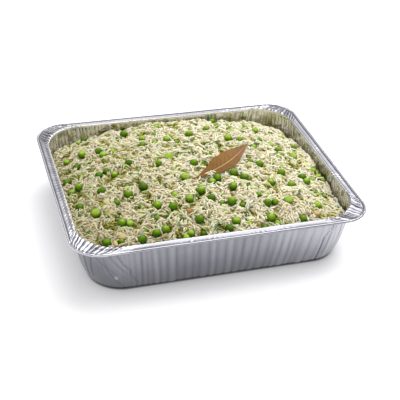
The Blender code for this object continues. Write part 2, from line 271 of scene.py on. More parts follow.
def rice_material():
    """Cooked grains: pale where they stand proud; painted shade makes them darker and yellower down between the clumps.
    """
    mat, nt, bsdf = new_material("rice")
    L = nt.links.new
    geo = node(nt, "ShaderNodeNewGeometry")
    tc = node(nt, "ShaderNodeTexCoord")
    deep = node(nt, "ShaderNodeAttribute", attribute_name="depth")
    grain = ramp(nt, [(0.0, (0.66, 0.58, 0.38)), (0.05, (0.69, 0.635, 0.46)),
                      (0.5, (0.715, 0.67, 0.53)), (0.85, (0.74, 0.70, 0.56)),
                      (1.0, (0.80, 0.77, 0.66))])
    L(geo.outputs["Random Per Island"], grain.inputs["Fac"])
    patch = node(nt, "ShaderNodeTexNoise", Scale=60.0, Detail=2.0, Roughness=0.5)
    L(tc.outputs["Object"], patch.inputs["Vector"])
    tint = ramp(nt, [(0.35, (1.0, 0.955, 0.90)), (0.58, (0.97, 0.99, 0.86)), (0.74, (0.84, 1.0, 0.66))])
    L(patch.outputs["Fac"], tint.inputs["Fac"])
    mix = node(nt, "ShaderNodeMix", data_type="RGBA", blend_type="MULTIPLY")
    mix.inputs["Factor"].default_value = 0.9
    L(grain.outputs["Color"], mix.inputs["A"])
    L(tint.outputs["Color"], mix.inputs["B"])
    # painted shade: darker and yellower in the hollows between clumps, by the depth value
    hollow_shade = ramp(nt, [(0.0, (0.42, 0.44, 0.12)), (0.28, (0.62, 0.64, 0.25)), (0.50, (0.81, 0.83, 0.54)),
                    (0.68, (0.98, 0.97, 0.93)), (1.0, (1.06, 1.05, 1.12))])
    L(deep.outputs["Fac"], hollow_shade.inputs["Fac"])
    mix2 = node(nt, "ShaderNodeMix", data_type="RGBA", blend_type="MULTIPLY")
    mix2.inputs["Factor"].default_value = 1.0
    L(mix.outputs["Result"], mix2.inputs["A"])
    L(hollow_shade.outputs["Color"], mix2.inputs["B"])
    # painted shade: grain surfaces that face sideways or down are tinted darker and yellower
    turned = node(nt, "ShaderNodeAttribute", attribute_name="turned")
    underside_shade = ramp(nt, [(0.0, (0.96, 0.93, 0.50)), (0.35, (1.0, 0.98, 0.74)), (0.75, (1.0, 1.0, 1.0))])
    L(turned.outputs["Fac"], underside_shade.inputs["Fac"])
    mix3 = node(nt, "ShaderNodeMix", data_type="RGBA", blend_type="MULTIPLY")
    mix3.inputs["Factor"].default_value = 1.0
    L(mix2.outputs["Result"], mix3.inputs["A"])
    L(underside_shade.outputs["Color"], mix3.inputs["B"])
    # painted light: a gradient across the tray in object space, darker to the front left and brighter to the back right
    place = node(nt, "ShaderNodeSeparateXYZ")
    L(tc.outputs["Object"], place.inputs["Vector"])
    slant = node(nt, "ShaderNodeMath", operation="MULTIPLY_ADD")
    L(place.outputs["Y"], slant.inputs[0]); slant.inputs[1].default_value = 0.18
    L(place.outputs["X"], slant.inputs[2])
    along = node(nt, "ShaderNodeMapRange")
    along.inputs["From Min"].default_value = -0.16
    along.inputs["From Max"].default_value = 0.14
    L(slant.outputs[0], along.inputs["Value"])
    light_falloff = ramp(nt, [(0.0, (0.66, 0.66, 0.58)), (0.5, (0.93, 0.93, 0.91)), (1.0, (1.03, 1.03, 1.05))])
    L(along.outputs["Result"], light_falloff.inputs["Fac"])
    mix4 = node(nt, "ShaderNodeMix", data_type="RGBA", blend_type="MULTIPLY")
    mix4.inputs["Factor"].default_value = 1.0
    L(mix3.outputs["Result"], mix4.inputs["A"])
    L(light_falloff.outputs["Color"], mix4.inputs["B"])
    L(mix4.outputs["Result"], bsdf.inputs["Base Color"])
    # painted light: the grains glow faintly in their own colour, more on top of clumps and none deep in the hollows, in
    # place of light handed on from grain to grain so the clumps don't go dark between grains
    glow = ramp(nt, [(0.30, (0.0, 0.0, 0.0)), (0.62, (0.07, 0.07, 0.07)), (1.0, (0.08, 0.08, 0.08))])
    L(deep.outputs["Fac"], glow.inputs["Fac"])
    L(mix4.outputs["Result"], bsdf.inputs["Emission Color"])
    L(glow.outputs["Color"], bsdf.inputs["Emission Strength"])
    fine = node(nt, "ShaderNodeTexNoise", Scale=900.0, Detail=2.0, Roughness=0.5)
    L(tc.outputs["Object"], fine.inputs["Vector"])
    rough = node(nt, "ShaderNodeMapRange")
    rough.inputs["To Min"].default_value = 0.40
    rough.inputs["To Max"].default_value = 0.60
    L(fine.outputs["Fac"], rough.inputs["Value"])
    L(rough.outputs["Result"], bsdf.inputs["Roughness"])
    bump = node(nt, "ShaderNodeBump")
    bump.inputs["Strength"].default_value = 0.12
    bump.inputs["Distance"].default_value = 0.0002
    L(fine.outputs["Fac"], bump.inputs["Height"])
    # light spreads from grain to grain, so each shades partly with the clump it lies in
    soft = node(nt, "ShaderNodeAttribute", attribute_name="soft")
    L(soft.outputs["Vector"], bump.inputs["Normal"])
    L(bump.outputs["Normal"], bsdf.inputs["Normal"])
    bsdf.inputs["Subsurface Weight"].default_value = 0.75
    bsdf.inputs["Subsurface Radius"].default_value = (1.0, 0.85, 0.55)
    bsdf.inputs["Subsurface Scale"].default_value = 0.003
    bsdf.inputs["Specular IOR Level"].default_value = 0.12
    return mat


def core_material():
    mat, nt, bsdf = new_material("rice_core")
    L = nt.links.new
    tc = node(nt, "ShaderNodeTexCoord")
    n1 = node(nt, "ShaderNodeTexNoise", Scale=420.0, Detail=3.0, Roughness=0.6)
    L(tc.outputs["Object"], n1.inputs["Vector"])
    col = ramp(nt, [(0.35, (0.60, 0.57, 0.32)), (0.62, (0.72, 0.68, 0.46))])
    L(n1.outputs["Fac"], col.inputs["Fac"])
    deep = node(nt, "ShaderNodeAttribute", attribute_name="depth")
    # painted shade: darker and yellower in the hollows between clumps, by the depth value
    hollow_shade = ramp(nt, [(0.0, (0.46, 0.49, 0.15)), (0.30, (0.72, 0.73, 0.38)), (0.60, (0.92, 0.92, 0.70)),
                    (0.82, (1.0, 1.0, 0.95))])
    L(deep.outputs["Fac"], hollow_shade.inputs["Fac"])
    mix = node(nt, "ShaderNodeMix", data_type="RGBA", blend_type="MULTIPLY")
    mix.inputs["Factor"].default_value = 1.0
    L(col.outputs["Color"], mix.inputs["A"])
    L(hollow_shade.outputs["Color"], mix.inputs["B"])
    L(mix.outputs["Result"], bsdf.inputs["Base Color"])
    bsdf.inputs["Specular IOR Level"].default_value = 0.15
    rough = node(nt, "ShaderNodeMapRange")
    rough.inputs["To Min"].default_value = 0.45
    rough.inputs["To Max"].default_value = 0.75
    L(n1.outputs["Fac"], rough.inputs["Value"])
    L(rough.outputs["Result"], bsdf.inputs["Roughness"])
    bump = node(nt, "ShaderNodeBump")
    bump.inputs["Strength"].default_value = 0.4
    bump.inputs["Distance"].default_value = 0.0005
    L(n1.outputs["Fac"], bump.inputs["Height"])
    L(bump.outputs["Normal"], bsdf.inputs["Normal"])
    return mat


def pea_material():
    mat, nt, bsdf = new_material("pea")
    L = nt.links.new
    tc = node(nt, "ShaderNodeTexCoord")
    tone_at = node(nt, "ShaderNodeAttribute", attribute_name="tone")
    # colour by tone: each pea's own tone, with painted shade lighter at the top and darker underneath
    hue = ramp(nt, [(0.0, (0.036, 0.086, 0.0)), (0.35, (0.058, 0.136, 0.0)),
                    (0.65, (0.092, 0.206, 0.001)), (0.85, (0.165, 0.308, 0.005)), (1.0, (0.350, 0.520, 0.070))])
    L(tone_at.outputs["Fac"], hue.inputs["Fac"])
    mottle = node(nt, "ShaderNodeTexNoise", Scale=240.0, Detail=3.0, Roughness=0.55)
    L(tc.outputs["Object"], mottle.inputs["Vector"])
    tone = ramp(nt, [(0.3, (0.70, 0.80, 0.62)), (0.7, (1.27, 1.19, 1.0))])
    L(mottle.outputs["Fac"], tone.inputs["Fac"])
    mix = node(nt, "ShaderNodeMix", data_type="RGBA", blend_type="MULTIPLY")
    mix.inputs["Factor"].default_value = 1.0
    L(hue.outputs["Color"], mix.inputs["A"])
    L(tone.outputs["Color"], mix.inputs["B"])
    # painted shade: the pea's colour is darkened toward its edges as seen, where its surface turns away
    facing = node(nt, "ShaderNodeLayerWeight", Blend=0.45)
    rim_shade = ramp(nt, [(0.25, (1.0, 1.0, 1.0)), (0.85, (0.42, 0.52, 0.45))])
    L(facing.outputs["Facing"], rim_shade.inputs["Fac"])
    mix2 = node(nt, "ShaderNodeMix", data_type="RGBA", blend_type="MULTIPLY")
    mix2.inputs["Factor"].default_value = 1.0
    L(mix.outputs["Result"], mix2.inputs["A"])
    L(rim_shade.outputs["Color"], mix2.inputs["B"])
    L(mix2.outputs["Result"], bsdf.inputs["Base Color"])
    rough = node(nt, "ShaderNodeMapRange")
    rough.inputs["To Min"].default_value = 0.24
    rough.inputs["To Max"].default_value = 0.46
    L(mottle.outputs["Fac"], rough.inputs["Value"])
    L(rough.outputs["Result"], bsdf.inputs["Roughness"])
    bsdf.inputs["Specular IOR Level"].default_value = 0.12
    bsdf.inputs["Subsurface Weight"].default_value = 0.06
    bsdf.inputs["Subsurface Radius"].default_value = (0.7, 1.0, 0.15)
    bsdf.inputs["Subsurface Scale"].default_value = 0.0012
    bump = node(nt, "ShaderNodeBump")
    bump.inputs["Strength"].default_value = 0.25
    bump.inputs["Distance"].default_value = 0.0004
    L(mottle.outputs["Fac"], bump.inputs["Height"])
    L(bump.outputs["Normal"], bsdf.inputs["Normal"])
    return mat


def flake_material(name, stops, rough_lo=0.35, rough_hi=0.6, by_tone=False):
    mat, nt, bsdf = new_material(name)
    L = nt.links.new
    geo = node(nt, "ShaderNodeNewGeometry")
    tc = node(nt, "ShaderNodeTexCoord")
    col = ramp(nt, stops)
    if by_tone:
        tone_at = node(nt, "ShaderNodeAttribute", attribute_name="tone")
        L(tone_at.outputs["Fac"], col.inputs["Fac"])
    else:
        L(geo.outputs["Random Per Island"], col.inputs["Fac"])
    veins = node(nt, "ShaderNodeTexNoise", Scale=600.0, Detail=2.0, Roughness=0.6)
    L(tc.outputs["Object"], veins.inputs["Vector"])
    tone = ramp(nt, [(0.3, (0.7, 0.72, 0.7)), (0.7, (1.0, 1.0, 1.0))])
    L(veins.outputs["Fac"], tone.inputs["Fac"])
    mix = node(nt, "ShaderNodeMix", data_type="RGBA", blend_type="MULTIPLY")
    mix.inputs["Factor"].default_value = 1.0
    L(col.outputs["Color"], mix.inputs["A"])
    L(tone.outputs["Color"], mix.inputs["B"])
    L(mix.outputs["Result"], bsdf.inputs["Base Color"])
    rough = node(nt, "ShaderNodeMapRange")
    rough.inputs["To Min"].default_value = rough_lo
    rough.inputs["To Max"].default_value = rough_hi
    L(veins.outputs["Fac"], rough.inputs["Value"])
    L(rough.outputs["Result"], bsdf.inputs["Roughness"])
    bump = node(nt, "ShaderNodeBump")
    bump.inputs["Strength"].default_value = 0.3
    bump.inputs["Distance"].default_value = 0.0003
    L(veins.outputs["Fac"], bump.inputs["Height"])
    L(bump.outputs["Normal"], bsdf.inputs["Normal"])
    return mat


def leaf_material():
    """Brown dried leaf; pale midrib and side veins come from the leaf's own UVs."""
    mat, nt, bsdf = new_material("dried_leaf")
    L = nt.links.new
    tc = node(nt, "ShaderNodeTexCoord")
    uv = node(nt, "ShaderNodeSeparateXYZ")
    L(tc.outputs["UV"], uv.inputs["Vector"])
    blotch = node(nt, "ShaderNodeTexNoise", Scale=70.0, Detail=4.0, Roughness=0.6)
    L(tc.outputs["Object"], blotch.inputs["Vector"])
    # painted sheen: the lower half of the blade, across the midrib, is tinted bluer
    half = ramp(nt, [(0.0, (1.04, 1.04, 1.5)), (0.44, (1.0, 1.0, 1.2)), (0.54, (1.0, 0.98, 0.9)), (1.0, (1.04, 1.02, 1.0))])
    L(uv.outputs["Y"], half.inputs["Fac"])
    tip = ramp(nt, [(0.0, (0.140, 0.056, 0.001)), (0.35, (0.158, 0.068, 0.002)), (0.60, (0.190, 0.088, 0.012)),
                    (0.80, (0.205, 0.100, 0.036)), (1.0, (0.215, 0.112, 0.048))])
    L(uv.outputs["X"], tip.inputs["Fac"])
    both_ways = node(nt, "ShaderNodeMix", data_type="RGBA", blend_type="MULTIPLY")
    both_ways.inputs["Factor"].default_value = 1.0
    L(half.outputs["Color"], both_ways.inputs["A"])
    L(tip.outputs["Color"], both_ways.inputs["B"])
    spots = ramp(nt, [(0.28, (0.72, 0.66, 0.60)), (0.5, (1.0, 1.0, 1.0)), (0.72, (1.22, 1.26, 1.30))])
    L(blotch.outputs["Fac"], spots.inputs["Fac"])
    base = node(nt, "ShaderNodeMix", data_type="RGBA", blend_type="MULTIPLY")
    base.inputs["Factor"].default_value = 1.0
    L(both_ways.outputs["Result"], base.inputs["A"])
    L(spots.outputs["Color"], base.inputs["B"])
    off = node(nt, "ShaderNodeMath", operation="SUBTRACT")
    L(uv.outputs["Y"], off.inputs[0]); off.inputs[1].default_value = 0.5
    dist = node(nt, "ShaderNodeMath", operation="ABSOLUTE")
    L(off.outputs[0], dist.inputs[0])
    rib = node(nt, "ShaderNodeMapRange")
    rib.inputs["From Min"].default_value = 0.014
    rib.inputs["From Max"].default_value = 0.038
    rib.inputs["To Min"].default_value = 0.95
    rib.inputs["To Max"].default_value = 0.0
    L(dist.outputs[0], rib.inputs["Value"])
    lean = node(nt, "ShaderNodeMath", operation="MULTIPLY_ADD")
    L(dist.outputs[0], lean.inputs[0]); lean.inputs[1].default_value = -0.42
    L(uv.outputs["X"], lean.inputs[2])
    rep = node(nt, "ShaderNodeMath", operation="MULTIPLY")
    L(lean.outputs[0], rep.inputs[0]); rep.inputs[1].default_value = 13.0
    frac = node(nt, "ShaderNodeMath", operation="PINGPONG")
    L(rep.outputs[0], frac.inputs[0]); frac.inputs[1].default_value = 0.5
    vein = node(nt, "ShaderNodeMapRange")
    vein.inputs["From Min"].default_value = 0.0
    vein.inputs["From Max"].default_value = 0.07
    vein.inputs["To Min"].default_value = 0.30
    vein.inputs["To Max"].default_value = 0.0
    L(frac.outputs[0], vein.inputs["Value"])
    both = node(nt, "ShaderNodeMath", operation="MAXIMUM")
    L(rib.outputs["Result"], both.inputs[0]); L(vein.outputs["Result"], both.inputs[1])
    mix = node(nt, "ShaderNodeMix", data_type="RGBA")
    mix.inputs["B"].default_value = (0.50, 0.31, 0.13, 1.0)
    L(both.outputs[0], mix.inputs["Factor"])
    L(base.outputs["Result"], mix.inputs["A"])
    L(mix.outputs["Result"], bsdf.inputs["Base Color"])
    rough = node(nt, "ShaderNodeMapRange")
    rough.inputs["To Min"].default_value = 0.34
    rough.inputs["To Max"].default_value = 0.58
    L(blotch.outputs["Fac"], rough.inputs["Value"])
    L(rough.outputs["Result"], bsdf.inputs["Roughness"])
    bsdf.inputs["Specular IOR Level"].default_value = 0.12
    bump = node(nt, "ShaderNodeBump")
    bump.inputs["Strength"].default_value = 0.35
    bump.inputs["Distance"].default_value = 0.0006
    L(both.outputs[0], bump.inputs["Height"])
    L(bump.outputs["Normal"], bsdf.inputs["Normal"])
    return mat


# ------------------------------------------------------------------ foil tray
def ring_stations(n_x, n_y, n_c):
    """Stations round the tray: (quarter, kind, fraction) and arc length at the lip."""
    st = []
    for k in range(4):
        n_side = n_y if k % 2 == 0 else n_x
        for i in range(n_side):
            st.append((k, 0, i / n_side))
        for i in range(n_c):
            st.append((k, 1, i / n_c))
    return np.array(st)


def outline_points(st, a, b, r):
    """Points and outward normals of the rounded rectangle at all stations."""
    k, kind, f = st[:, 0].astype(int), st[:, 1], st[:, 2]
    sx = np.array([1, -1, -1, 1])[k]
    sy = np.array([1, 1, -1, -1])[k]
    px = np.array([1, 1, -1, -1])[k]          # corner before the side
    py = np.array([-1, 1, 1, -1])[k]
    t0 = np.radians(90.0) * k
    n0 = np.stack([np.cos(t0), np.sin(t0)], 1)
    cx, cy = sx * (a - r), sy * (b - r)
    qx, qy = px * (a - r), py * (b - r)
    ang = t0 + np.radians(90.0) * f
    nc = np.stack([np.cos(ang), np.sin(ang)], 1)
    side = np.stack([qx + (cx - qx) * f, qy + (cy - qy) * f], 1) + r * n0
    corner = np.stack([cx, cy], 1) + r * nc
    m = (kind > 0.5)[:, None]
    return np.where(m, corner, side), np.where(m, nc, n0)


def build_tray():
    """The pressed foil tray: one thin closed sheet, floor, fluted walls, flange and roll."""
    st = ring_stations(240, 180, 110)
    n = len(st)
    lip_pts, _ = outline_points(st, LIP_A, LIP_B, LIP_R)
    # arc position round the lip: right side, back right corner, back, and so on
    side_y, side_x, arc = 2 * (LIP_B - LIP_R), 2 * (LIP_A - LIP_R), math.pi / 2 * LIP_R
    starts = []
    s0 = 0.0
    for k in range(4):
        starts.append((s0, s0 + (side_y if k % 2 == 0 else side_x)))
        s0 = starts[-1][1] + arc
    total = s0
    S = np.array([starts[int(k)][1] + f * arc if kind > 0.5
                  else starts[int(k)][0] + f * (starts[int(k)][1] - starts[int(k)][0])
                  for k, kind, f in st])

    def around(s, at):
        return (s - at + total / 2) % total - total / 2

    cw = np.zeros(n)                       # 1 through a corner, 0 along a side
    for k in range(4):
        d = np.abs(around(S, starts[k][1] + arc / 2))
        cw = np.maximum(cw, 1.0 - smooth01((d - arc * 0.46) / (arc * 0.22)))

    # flutes pressed down the walls: valleys at uneven steps round the tray
    g = np.random.default_rng(11)
    valleys, s = [], 2.0
    while s < total - 3.0:
        valleys.append(s)
        w = float(np.interp(s, S, cw))
        along = 9.0 if starts[3][0] - 30 < s < starts[3][1] + 30 else 5.2
        s += (along * (1 - w) + 4.4 * w) * g.uniform(0.72, 1.3)
    valleys = np.array(valleys)
    front = np.array([748.0, 753.6, 759.2, 767.0, 775.2, 785.8, 794.8, 803.7, 810.5, 821.8, 829.9])
    valleys = np.sort(np.concatenate([valleys[(valleys < 743.5) | (valleys > 836.0)], front]))
    strength = g.uniform(0.35, 1.25, len(valleys))
    leaning = g.uniform(-1.2, 1.2, len(valleys))
    leaning[(valleys > 850) & (valleys < 960)] += 3.2          # the right of the front wall leans
    sharp = g.uniform(0.5, 1.0, len(valleys))
    tone = g.uniform(0.0, 1.0, len(valleys))
    ridge_highlight = np.zeros(n)

    def flutes(z):
        e = np.sort(valleys + leaning * (z / LIP_Z - 0.5))
        ext = np.concatenate([[e[-1] - total], e, [e[0] + total]])
        i = np.clip(np.searchsorted(ext, S, side="right") - 1, 0, len(ext) - 2)
        width = ext[i + 1] - ext[i]
        u = np.clip((S - ext[i]) / width, 0, 1)
        k = (i - 1) % len(valleys)
        bulge = np.sin(math.pi * u) ** sharp[k] * width * strength[k]
        nonlocal ridge_highlight
        # how far across each flute a point lies, with each flute's own strength; used only for the painted highlight on
        # flute ridges
        ridge_highlight = np.sin(math.pi * u) * (0.35 + 0.65 * tone[k])
        front_side = smooth01((S - starts[3][0] + 12) / 12) * smooth01((starts[3][1] + 12 - S) / 12)
        front_left = np.exp(-(around(S, 712.0) / 26.0) ** 4)
        return bulge * ((0.110 + 0.045 * front_side) * (1 - cw) + (0.125 - 0.09 * front_left) * cw)

    # creases: arc position and height at each bend, depth (in is positive), half width
    creases = [
        ([(686.0, 58), (687.0, 25), (686, 10)], 0.45, 1.0), ([(697.5, 60), (696.1, 42.7), (692.8, 13)], 0.50, 1.0),
        ([(701, 62), (702.5, 45), (710.5, 37.1), (718.8, 17.7), (727.5, 4)], 0.55, 1.0),
        ([(709.5, 62), (710.2, 45), (711.3, 39), (719.3, 27), (722, 21)], 0.45, 0.8),
        ([(715, 58), (717.3, 48.2), (726.1, 34.1), (731, 27)], 0.45, 0.9),
        ([(722, 60), (724.2, 51), (729.1, 39.3), (735.4, 30.5), (734.8, 25), (743.3, 9.2)], 0.55, 1.0),
        ([(748.6, 56), (746.2, 5)], 0.32, 0.8),
        ([(966.5, 62), (961, 51.9), (952.8, 39.7), (952.6, 29), (952.6, 3)], 0.85, 1.0),
        ([(969, 61), (964, 50), (959.1, 40.7), (957.5, 12)], 0.6, 0.9),
        ([(975.5, 61), (973.1, 45.8), (971.6, 23.5), (968.6, 3.7)], 0.6, 1.0),
        ([(983, 61), (982, 44), (980.4, 30.9), (977, 8)], 0.6, 0.9),
        ([(988, 60), (990, 20)], 0.5, 0.9), ([(996, 60), (997, 14)], 0.5, 0.9), ([(1004, 60), (1001, 10)], 0.5, 0.9),
        ([(674, 58), (672, 12)], 0.4, 1.0), ([(666, 52), (661, 8)], 0.3, 1.0),
        ([(150, 60), (162, 30), (158, 6)], 0.5, 1.0), ([(232, 58), (222, 30), (214, 8)], 0.5, 1.0),
        ([(176, 60), (181, 8)], 0.55, 0.9), ([(196, 60), (193, 8)], 0.55, 0.9), ([(207, 60), (205, 8)], 0.5, 0.9),
        ([(450, 60), (460, 26), (466, 6)], 0.5, 1.0), ([(521, 60), (512, 30), (505, 8)], 0.5, 1.0),
        ([(472, 60), (478, 8)], 0.55, 0.9), ([(490, 60), (487, 8)], 0.55, 0.9),
    ]

    def crease_offset(z):
        out = np.zeros(n)
        for bends, depth, wide in creases:
            zs = [b[1] for b in bends]
            if z > zs[0] + 3 or z < zs[-1] - 3:
                continue
            at = float(np.interp(z, zs[::-1], [b[0] for b in bends][::-1]))
            fade = float(smooth01((zs[0] + 3 - z) / 5.0) * smooth01((z - zs[-1] + 3) / 6.0))
            d = around(S, at)
            out -= 1.5 * fade * depth * np.exp(-(d / (0.85 * wide)) ** 2)
            out += 0.35 * fade * depth * np.exp(-((d - 2.1 * wide) / (1.4 * wide)) ** 2)
        # a small pock near the foot of the front left corner
        out += 0.7 * np.exp(-(around(S, 719.9) / 1.5) ** 2 - ((z - 20.5) / 1.7) ** 2)
        return out

    def dents(z):
        a = lattice_noise(S / 52.0 + 3.0, np.full(n, z / 40.0), 5)
        b = lattice_noise(S / 15.0 + 9.0, np.full(n, z / 26.0), 6)
        return 0.35 * a + 0.0 * b

    def wall_ring(z, inset, depth_on):
        f = z / LIP_Z
        grow = WALL_BOW * 4.0 * f * (1.0 - f) - inset
        p, nn = outline_points(st, BASE_A + (LIP_A - BASE_A) * f + grow,
                               BASE_B + (LIP_B - BASE_B) * f + grow,
                               BASE_R + (LIP_R - BASE_R) * f + grow)
        low = float(smooth01((z - 0.8) / 5.0))
        high = float(smooth01((LIP_Z + 0.4 - z) / 4.0))
        d = depth_on * low * (high * flutes(z) + smooth01((LIP_Z - z) / 9.0) * dents(z)
                              + high * crease_offset(z))
        p = p + nn * d[:, None]
        x = p[:, 0] + BASE_SHIFT * max(0.0, 1.0 - f)
        return np.stack([x, p[:, 1], np.full(n, z)], 1)

    # crimps: folds across the flange, sharp at the corners
    g = np.random.default_rng(31)
    edges, s = [], 0.0
    while s < total - 1.0:
        edges.append(s)
        w = float(np.interp(s, S, cw))
        s += (5.2 * w + 4.3 * (1 - w)) * g.uniform(0.66, 1.36)
    edges = np.array(edges)
    height = g.uniform(0.55, 1.35, len(edges))
    peak_at = g.uniform(0.22, 0.78, len(edges))
    slant = g.uniform(-1.0, 1.0, len(edges)) * 1.5
    patchy = g.uniform(0.0, 1.0, len(edges))
    hard = g.uniform(0.0, 1.0, len(edges))

    def crimp(f, slide):
        """Fold height at share f across the flange; folds slant a little across it."""
        e = np.sort(edges + slant * (f - 0.5) * slide)
        ext = np.concatenate([e, [e[0] + total]])
        i = np.clip(np.searchsorted(ext, S, side="right") - 1, 0, len(e) - 1)
        u = np.clip((S - ext[i]) / (ext[i + 1] - ext[i]), 0, 1)
        top_at = peak_at[i]
        tooth = np.where(u < top_at, u / top_at, (1 - u) / (1 - top_at))
        valley = np.exp(-(np.minimum(u, 1 - u) / (0.15 + 0.07 * cw)) ** 2) * (0.55 + 0.55 * hard[i])
        return (tooth - 0.45) * height[i], patchy[i], valley

    # where the sides carry folds too: the whole of the left flange, patches elsewhere
    on_left = (S > starts[2][0] - 4) & (S < starts[2][1] + 4)
    left = np.where(on_left, 0.62 + 0.38 * np.sin(S / 9.0 + 1.0) * np.sin(S / 4.1), 0.0)
    nicks = np.zeros(n)
    for at, wide in ((805.0, 2.5), (826.0, 4.0), (870.0, 7.0), (898.0, 3.0), (236.0, 9.0), (262.0, 3.0),
                     (372.0, 7.0), (400.0, 8.0), (40.0, 5.0), (96.0, 6.0), (318.0, 4.0)):
        nicks = np.maximum(nicks, np.exp(-(around(S, at) / wide) ** 2))
    wave = 0.30 * lattice_noise(S / 30.0, np.zeros(n) + 0.5, 8) \
        + 0.10 * lattice_noise(S / 8.0, np.zeros(n) + 0.5, 9)

    def flange_ring(f, dz, under):
        """f 0 at the crease beside the roll, 1 at the inner lip."""
        a0, b0, r0 = RIM_A - 2 * BEAD_R, RIM_B - 2 * BEAD_R, RIM_R - 2 * BEAD_R
        grow = FOIL if under else 0.0
        p, _ = outline_points(st, a0 + (LIP_A + grow - a0) * f, b0 + (LIP_B + grow - b0) * f,
                              r0 + (LIP_R + grow - r0) * f)
        # a shallow channel: low at the crease, level across, up to the lip
        z = float(np.interp(f, (0.0, 0.05, 0.12, 0.60, 0.68, 0.86, 1.0),
                            (-2.35, -2.45, -1.65, -1.75, -0.95, -0.75, -0.80))) + TOP
        fold, patch, _ = crimp(f, 1.0)
        across = float(smooth01(f / 0.10))
        inner = float(smooth01((f - 0.24) / 0.16))
        amount = 1.25 * cw * across
        amount = np.maximum(amount, left * 0.60 * inner * (0.2 + 0.8 * patch))
        amount = np.maximum(amount, nicks * 0.7 * across * (0.4 + 0.6 * patch))
        amount = np.maximum(amount, 0.05)
        return np.stack([p[:, 0], p[:, 1], z + wave + fold * amount + dz], 1)

    rings = [wall_ring(0.0, 3.6, 0.0)]
    marks = {}
    faces = [np.zeros(n)]
    # painted light: the right end of the front wall is made brighter
    painted_light_right = smooth01((S - 850.0) / 130.0) * 0.20
    along_front = smooth01((S - 738.0) / 20.0) * smooth01((970.0 - S) / 30.0)
    # painted contact shadow: the foot rings below 3 mm get the darkest value; above them flute ridges get a faint
    # painted highlight
    for z, inset in ((0.0, 2.3), (0.35, 1.35), (1.1, 0.55), (2.3, 0.12), (3.6, 0.0)):
        rings.append(wall_ring(z, inset, 1.0))
        faces.append(np.full(n, 0.0 if z < 3.0 else 0.03) + 0.02 * ridge_highlight * (z > 3.0))
    heights = np.linspace(5.6, LIP_Z - 3.6, 24)
    for z in heights:
        rings.append(wall_ring(float(z), 0.0, 1.0))
        # painted shade on the outer wall: painted highlight on flute ridges (evened out near the front left corner),
        # darker towards the top, creases darkened by their depth, and a painted glint on the pock
        crease_shade = np.clip(-crease_offset(float(z)), 0.0, 1.2)
        calm = 0.85 * np.exp(-(around(S, 706.0) / 34.0) ** 4)
        even = ridge_highlight * (1.0 - calm) + 0.42 * calm
        wall_shade = (0.12 + 0.15 * even) * (1.0 - 0.30 * z / LIP_Z) + painted_light_right
        wall_shade += 0.5 * np.exp(-(around(S, 719.9) / 1.6) ** 2 - ((z - 20.5) / 1.9) ** 2)
        faces.append(np.clip(wall_shade * (1.0 - 0.75 * np.minimum(crease_shade, 1.0)), 0.0, 1.0))

    def with_wave(ring, z):
        ring[:, 2] += wave * float(smooth01((z - LIP_Z + 3.0) / 2.4))
        fold, _, _ = crimp(1.0, 1.0)
        teeth = 0.5 * cw + 0.45 * left + 0.12
        ring[:, 2] += fold * teeth * float(smooth01((z - LIP_Z + 1.6) / 1.4))
        return ring

    for z, inset in ((LIP_Z - 2.2, -0.05), (LIP_Z - 1.4, -0.3), (LIP_Z - 0.7, -0.8)):
        rings.append(with_wave(wall_ring(z, inset, 1.0), z))
    for f in (0.82, 0.55, 0.3, 0.06):
        rings.append(flange_ring(f, -FOIL, True))
    marks["roll"] = len(rings)
    bead_wave = 0.08 * lattice_noise(S / 5.0, np.zeros(n) + 0.5, 14)
    kinks = cw * 0.26 * lattice_noise(S / 2.6, np.zeros(n) + 0.5, 16)
    for deg in (-158, -130, -102, -74, -46, -18, 10, 38, 64, 90, 118, 148):
        t = math.radians(deg)
        rr = BEAD_R * (0.97 + 0.04 * lattice_noise(S / 6.0, np.zeros(n) + deg * 0.01, 15)) + kinks
        p, nn = outline_points(st, RIM_A, RIM_B, RIM_R)
        p = p - nn * (BEAD_R - rr * math.cos(t))[:, None]
        z = TOP - BEAD_R + rr * math.sin(t) + wave * 0.8 + bead_wave - 0.30
        rings.append(np.stack([p[:, 0], p[:, 1], z], 1))
    marks["flange"] = len(rings)
    for f in (0.0, 0.05, 0.12, 0.20, 0.32, 0.46, 0.60, 0.68, 0.77, 0.86, 0.93):
        rings.append(flange_ring(f, 0.0, False))
    marks["inside"] = len(rings) + 3
    for z, inset in ((LIP_Z + 0.05, -1.0), (LIP_Z - 0.05, -0.4), (LIP_Z - 0.45, -0.02), (LIP_Z - 1.1, FOIL * 0.8)):
        rings.append(with_wave(wall_ring(z, inset, 1.0), z))
    for z in [LIP_Z - 2.2] + [float(h) for h in heights[::-1] if h > 39.0]:
        rings.append(wall_ring(z, FOIL, 1.0))
    # under the rice the inner skin is plain
    rings.append(wall_ring(30.0, FOIL + 2.4, 0.2))
    rings.append(wall_ring(3.0, FOIL + 2.4, 0.2))
    rings.append(wall_ring(FOIL, FOIL + 4.0, 0.0))

    V = np.concatenate(rings)
    m = len(rings)
    i = np.arange(n)
    j = (i + 1) % n
    F = np.concatenate([np.stack([k * n + i, k * n + j, (k + 1) * n + j, (k + 1) * n + i], 1)
                        for k in range(m - 1)])
    V = np.concatenate([V, [[BASE_SHIFT, 0, 0.0], [BASE_SHIFT, 0, FOIL]]])
    c0, c1 = m * n, m * n + 1
    tri0 = np.stack([np.full(n, c0), j, i], 1)
    tri1 = np.stack([np.full(n, c1), (m - 1) * n + i, (m - 1) * n + j], 1)
    ob = make_object("foil_tray_sheet", V, F.tolist() + tri0.tolist() + tri1.tolist(), MAT_FOIL)
    bm = bmesh.new()
    bm.from_mesh(ob.data)
    bmesh.ops.recalc_face_normals(bm, faces=bm.faces)
    bm.to_mesh(ob.data)
    bm.free()
    ob.data.polygons.foreach_set("use_smooth", np.ones(len(ob.data.polygons), dtype=bool))
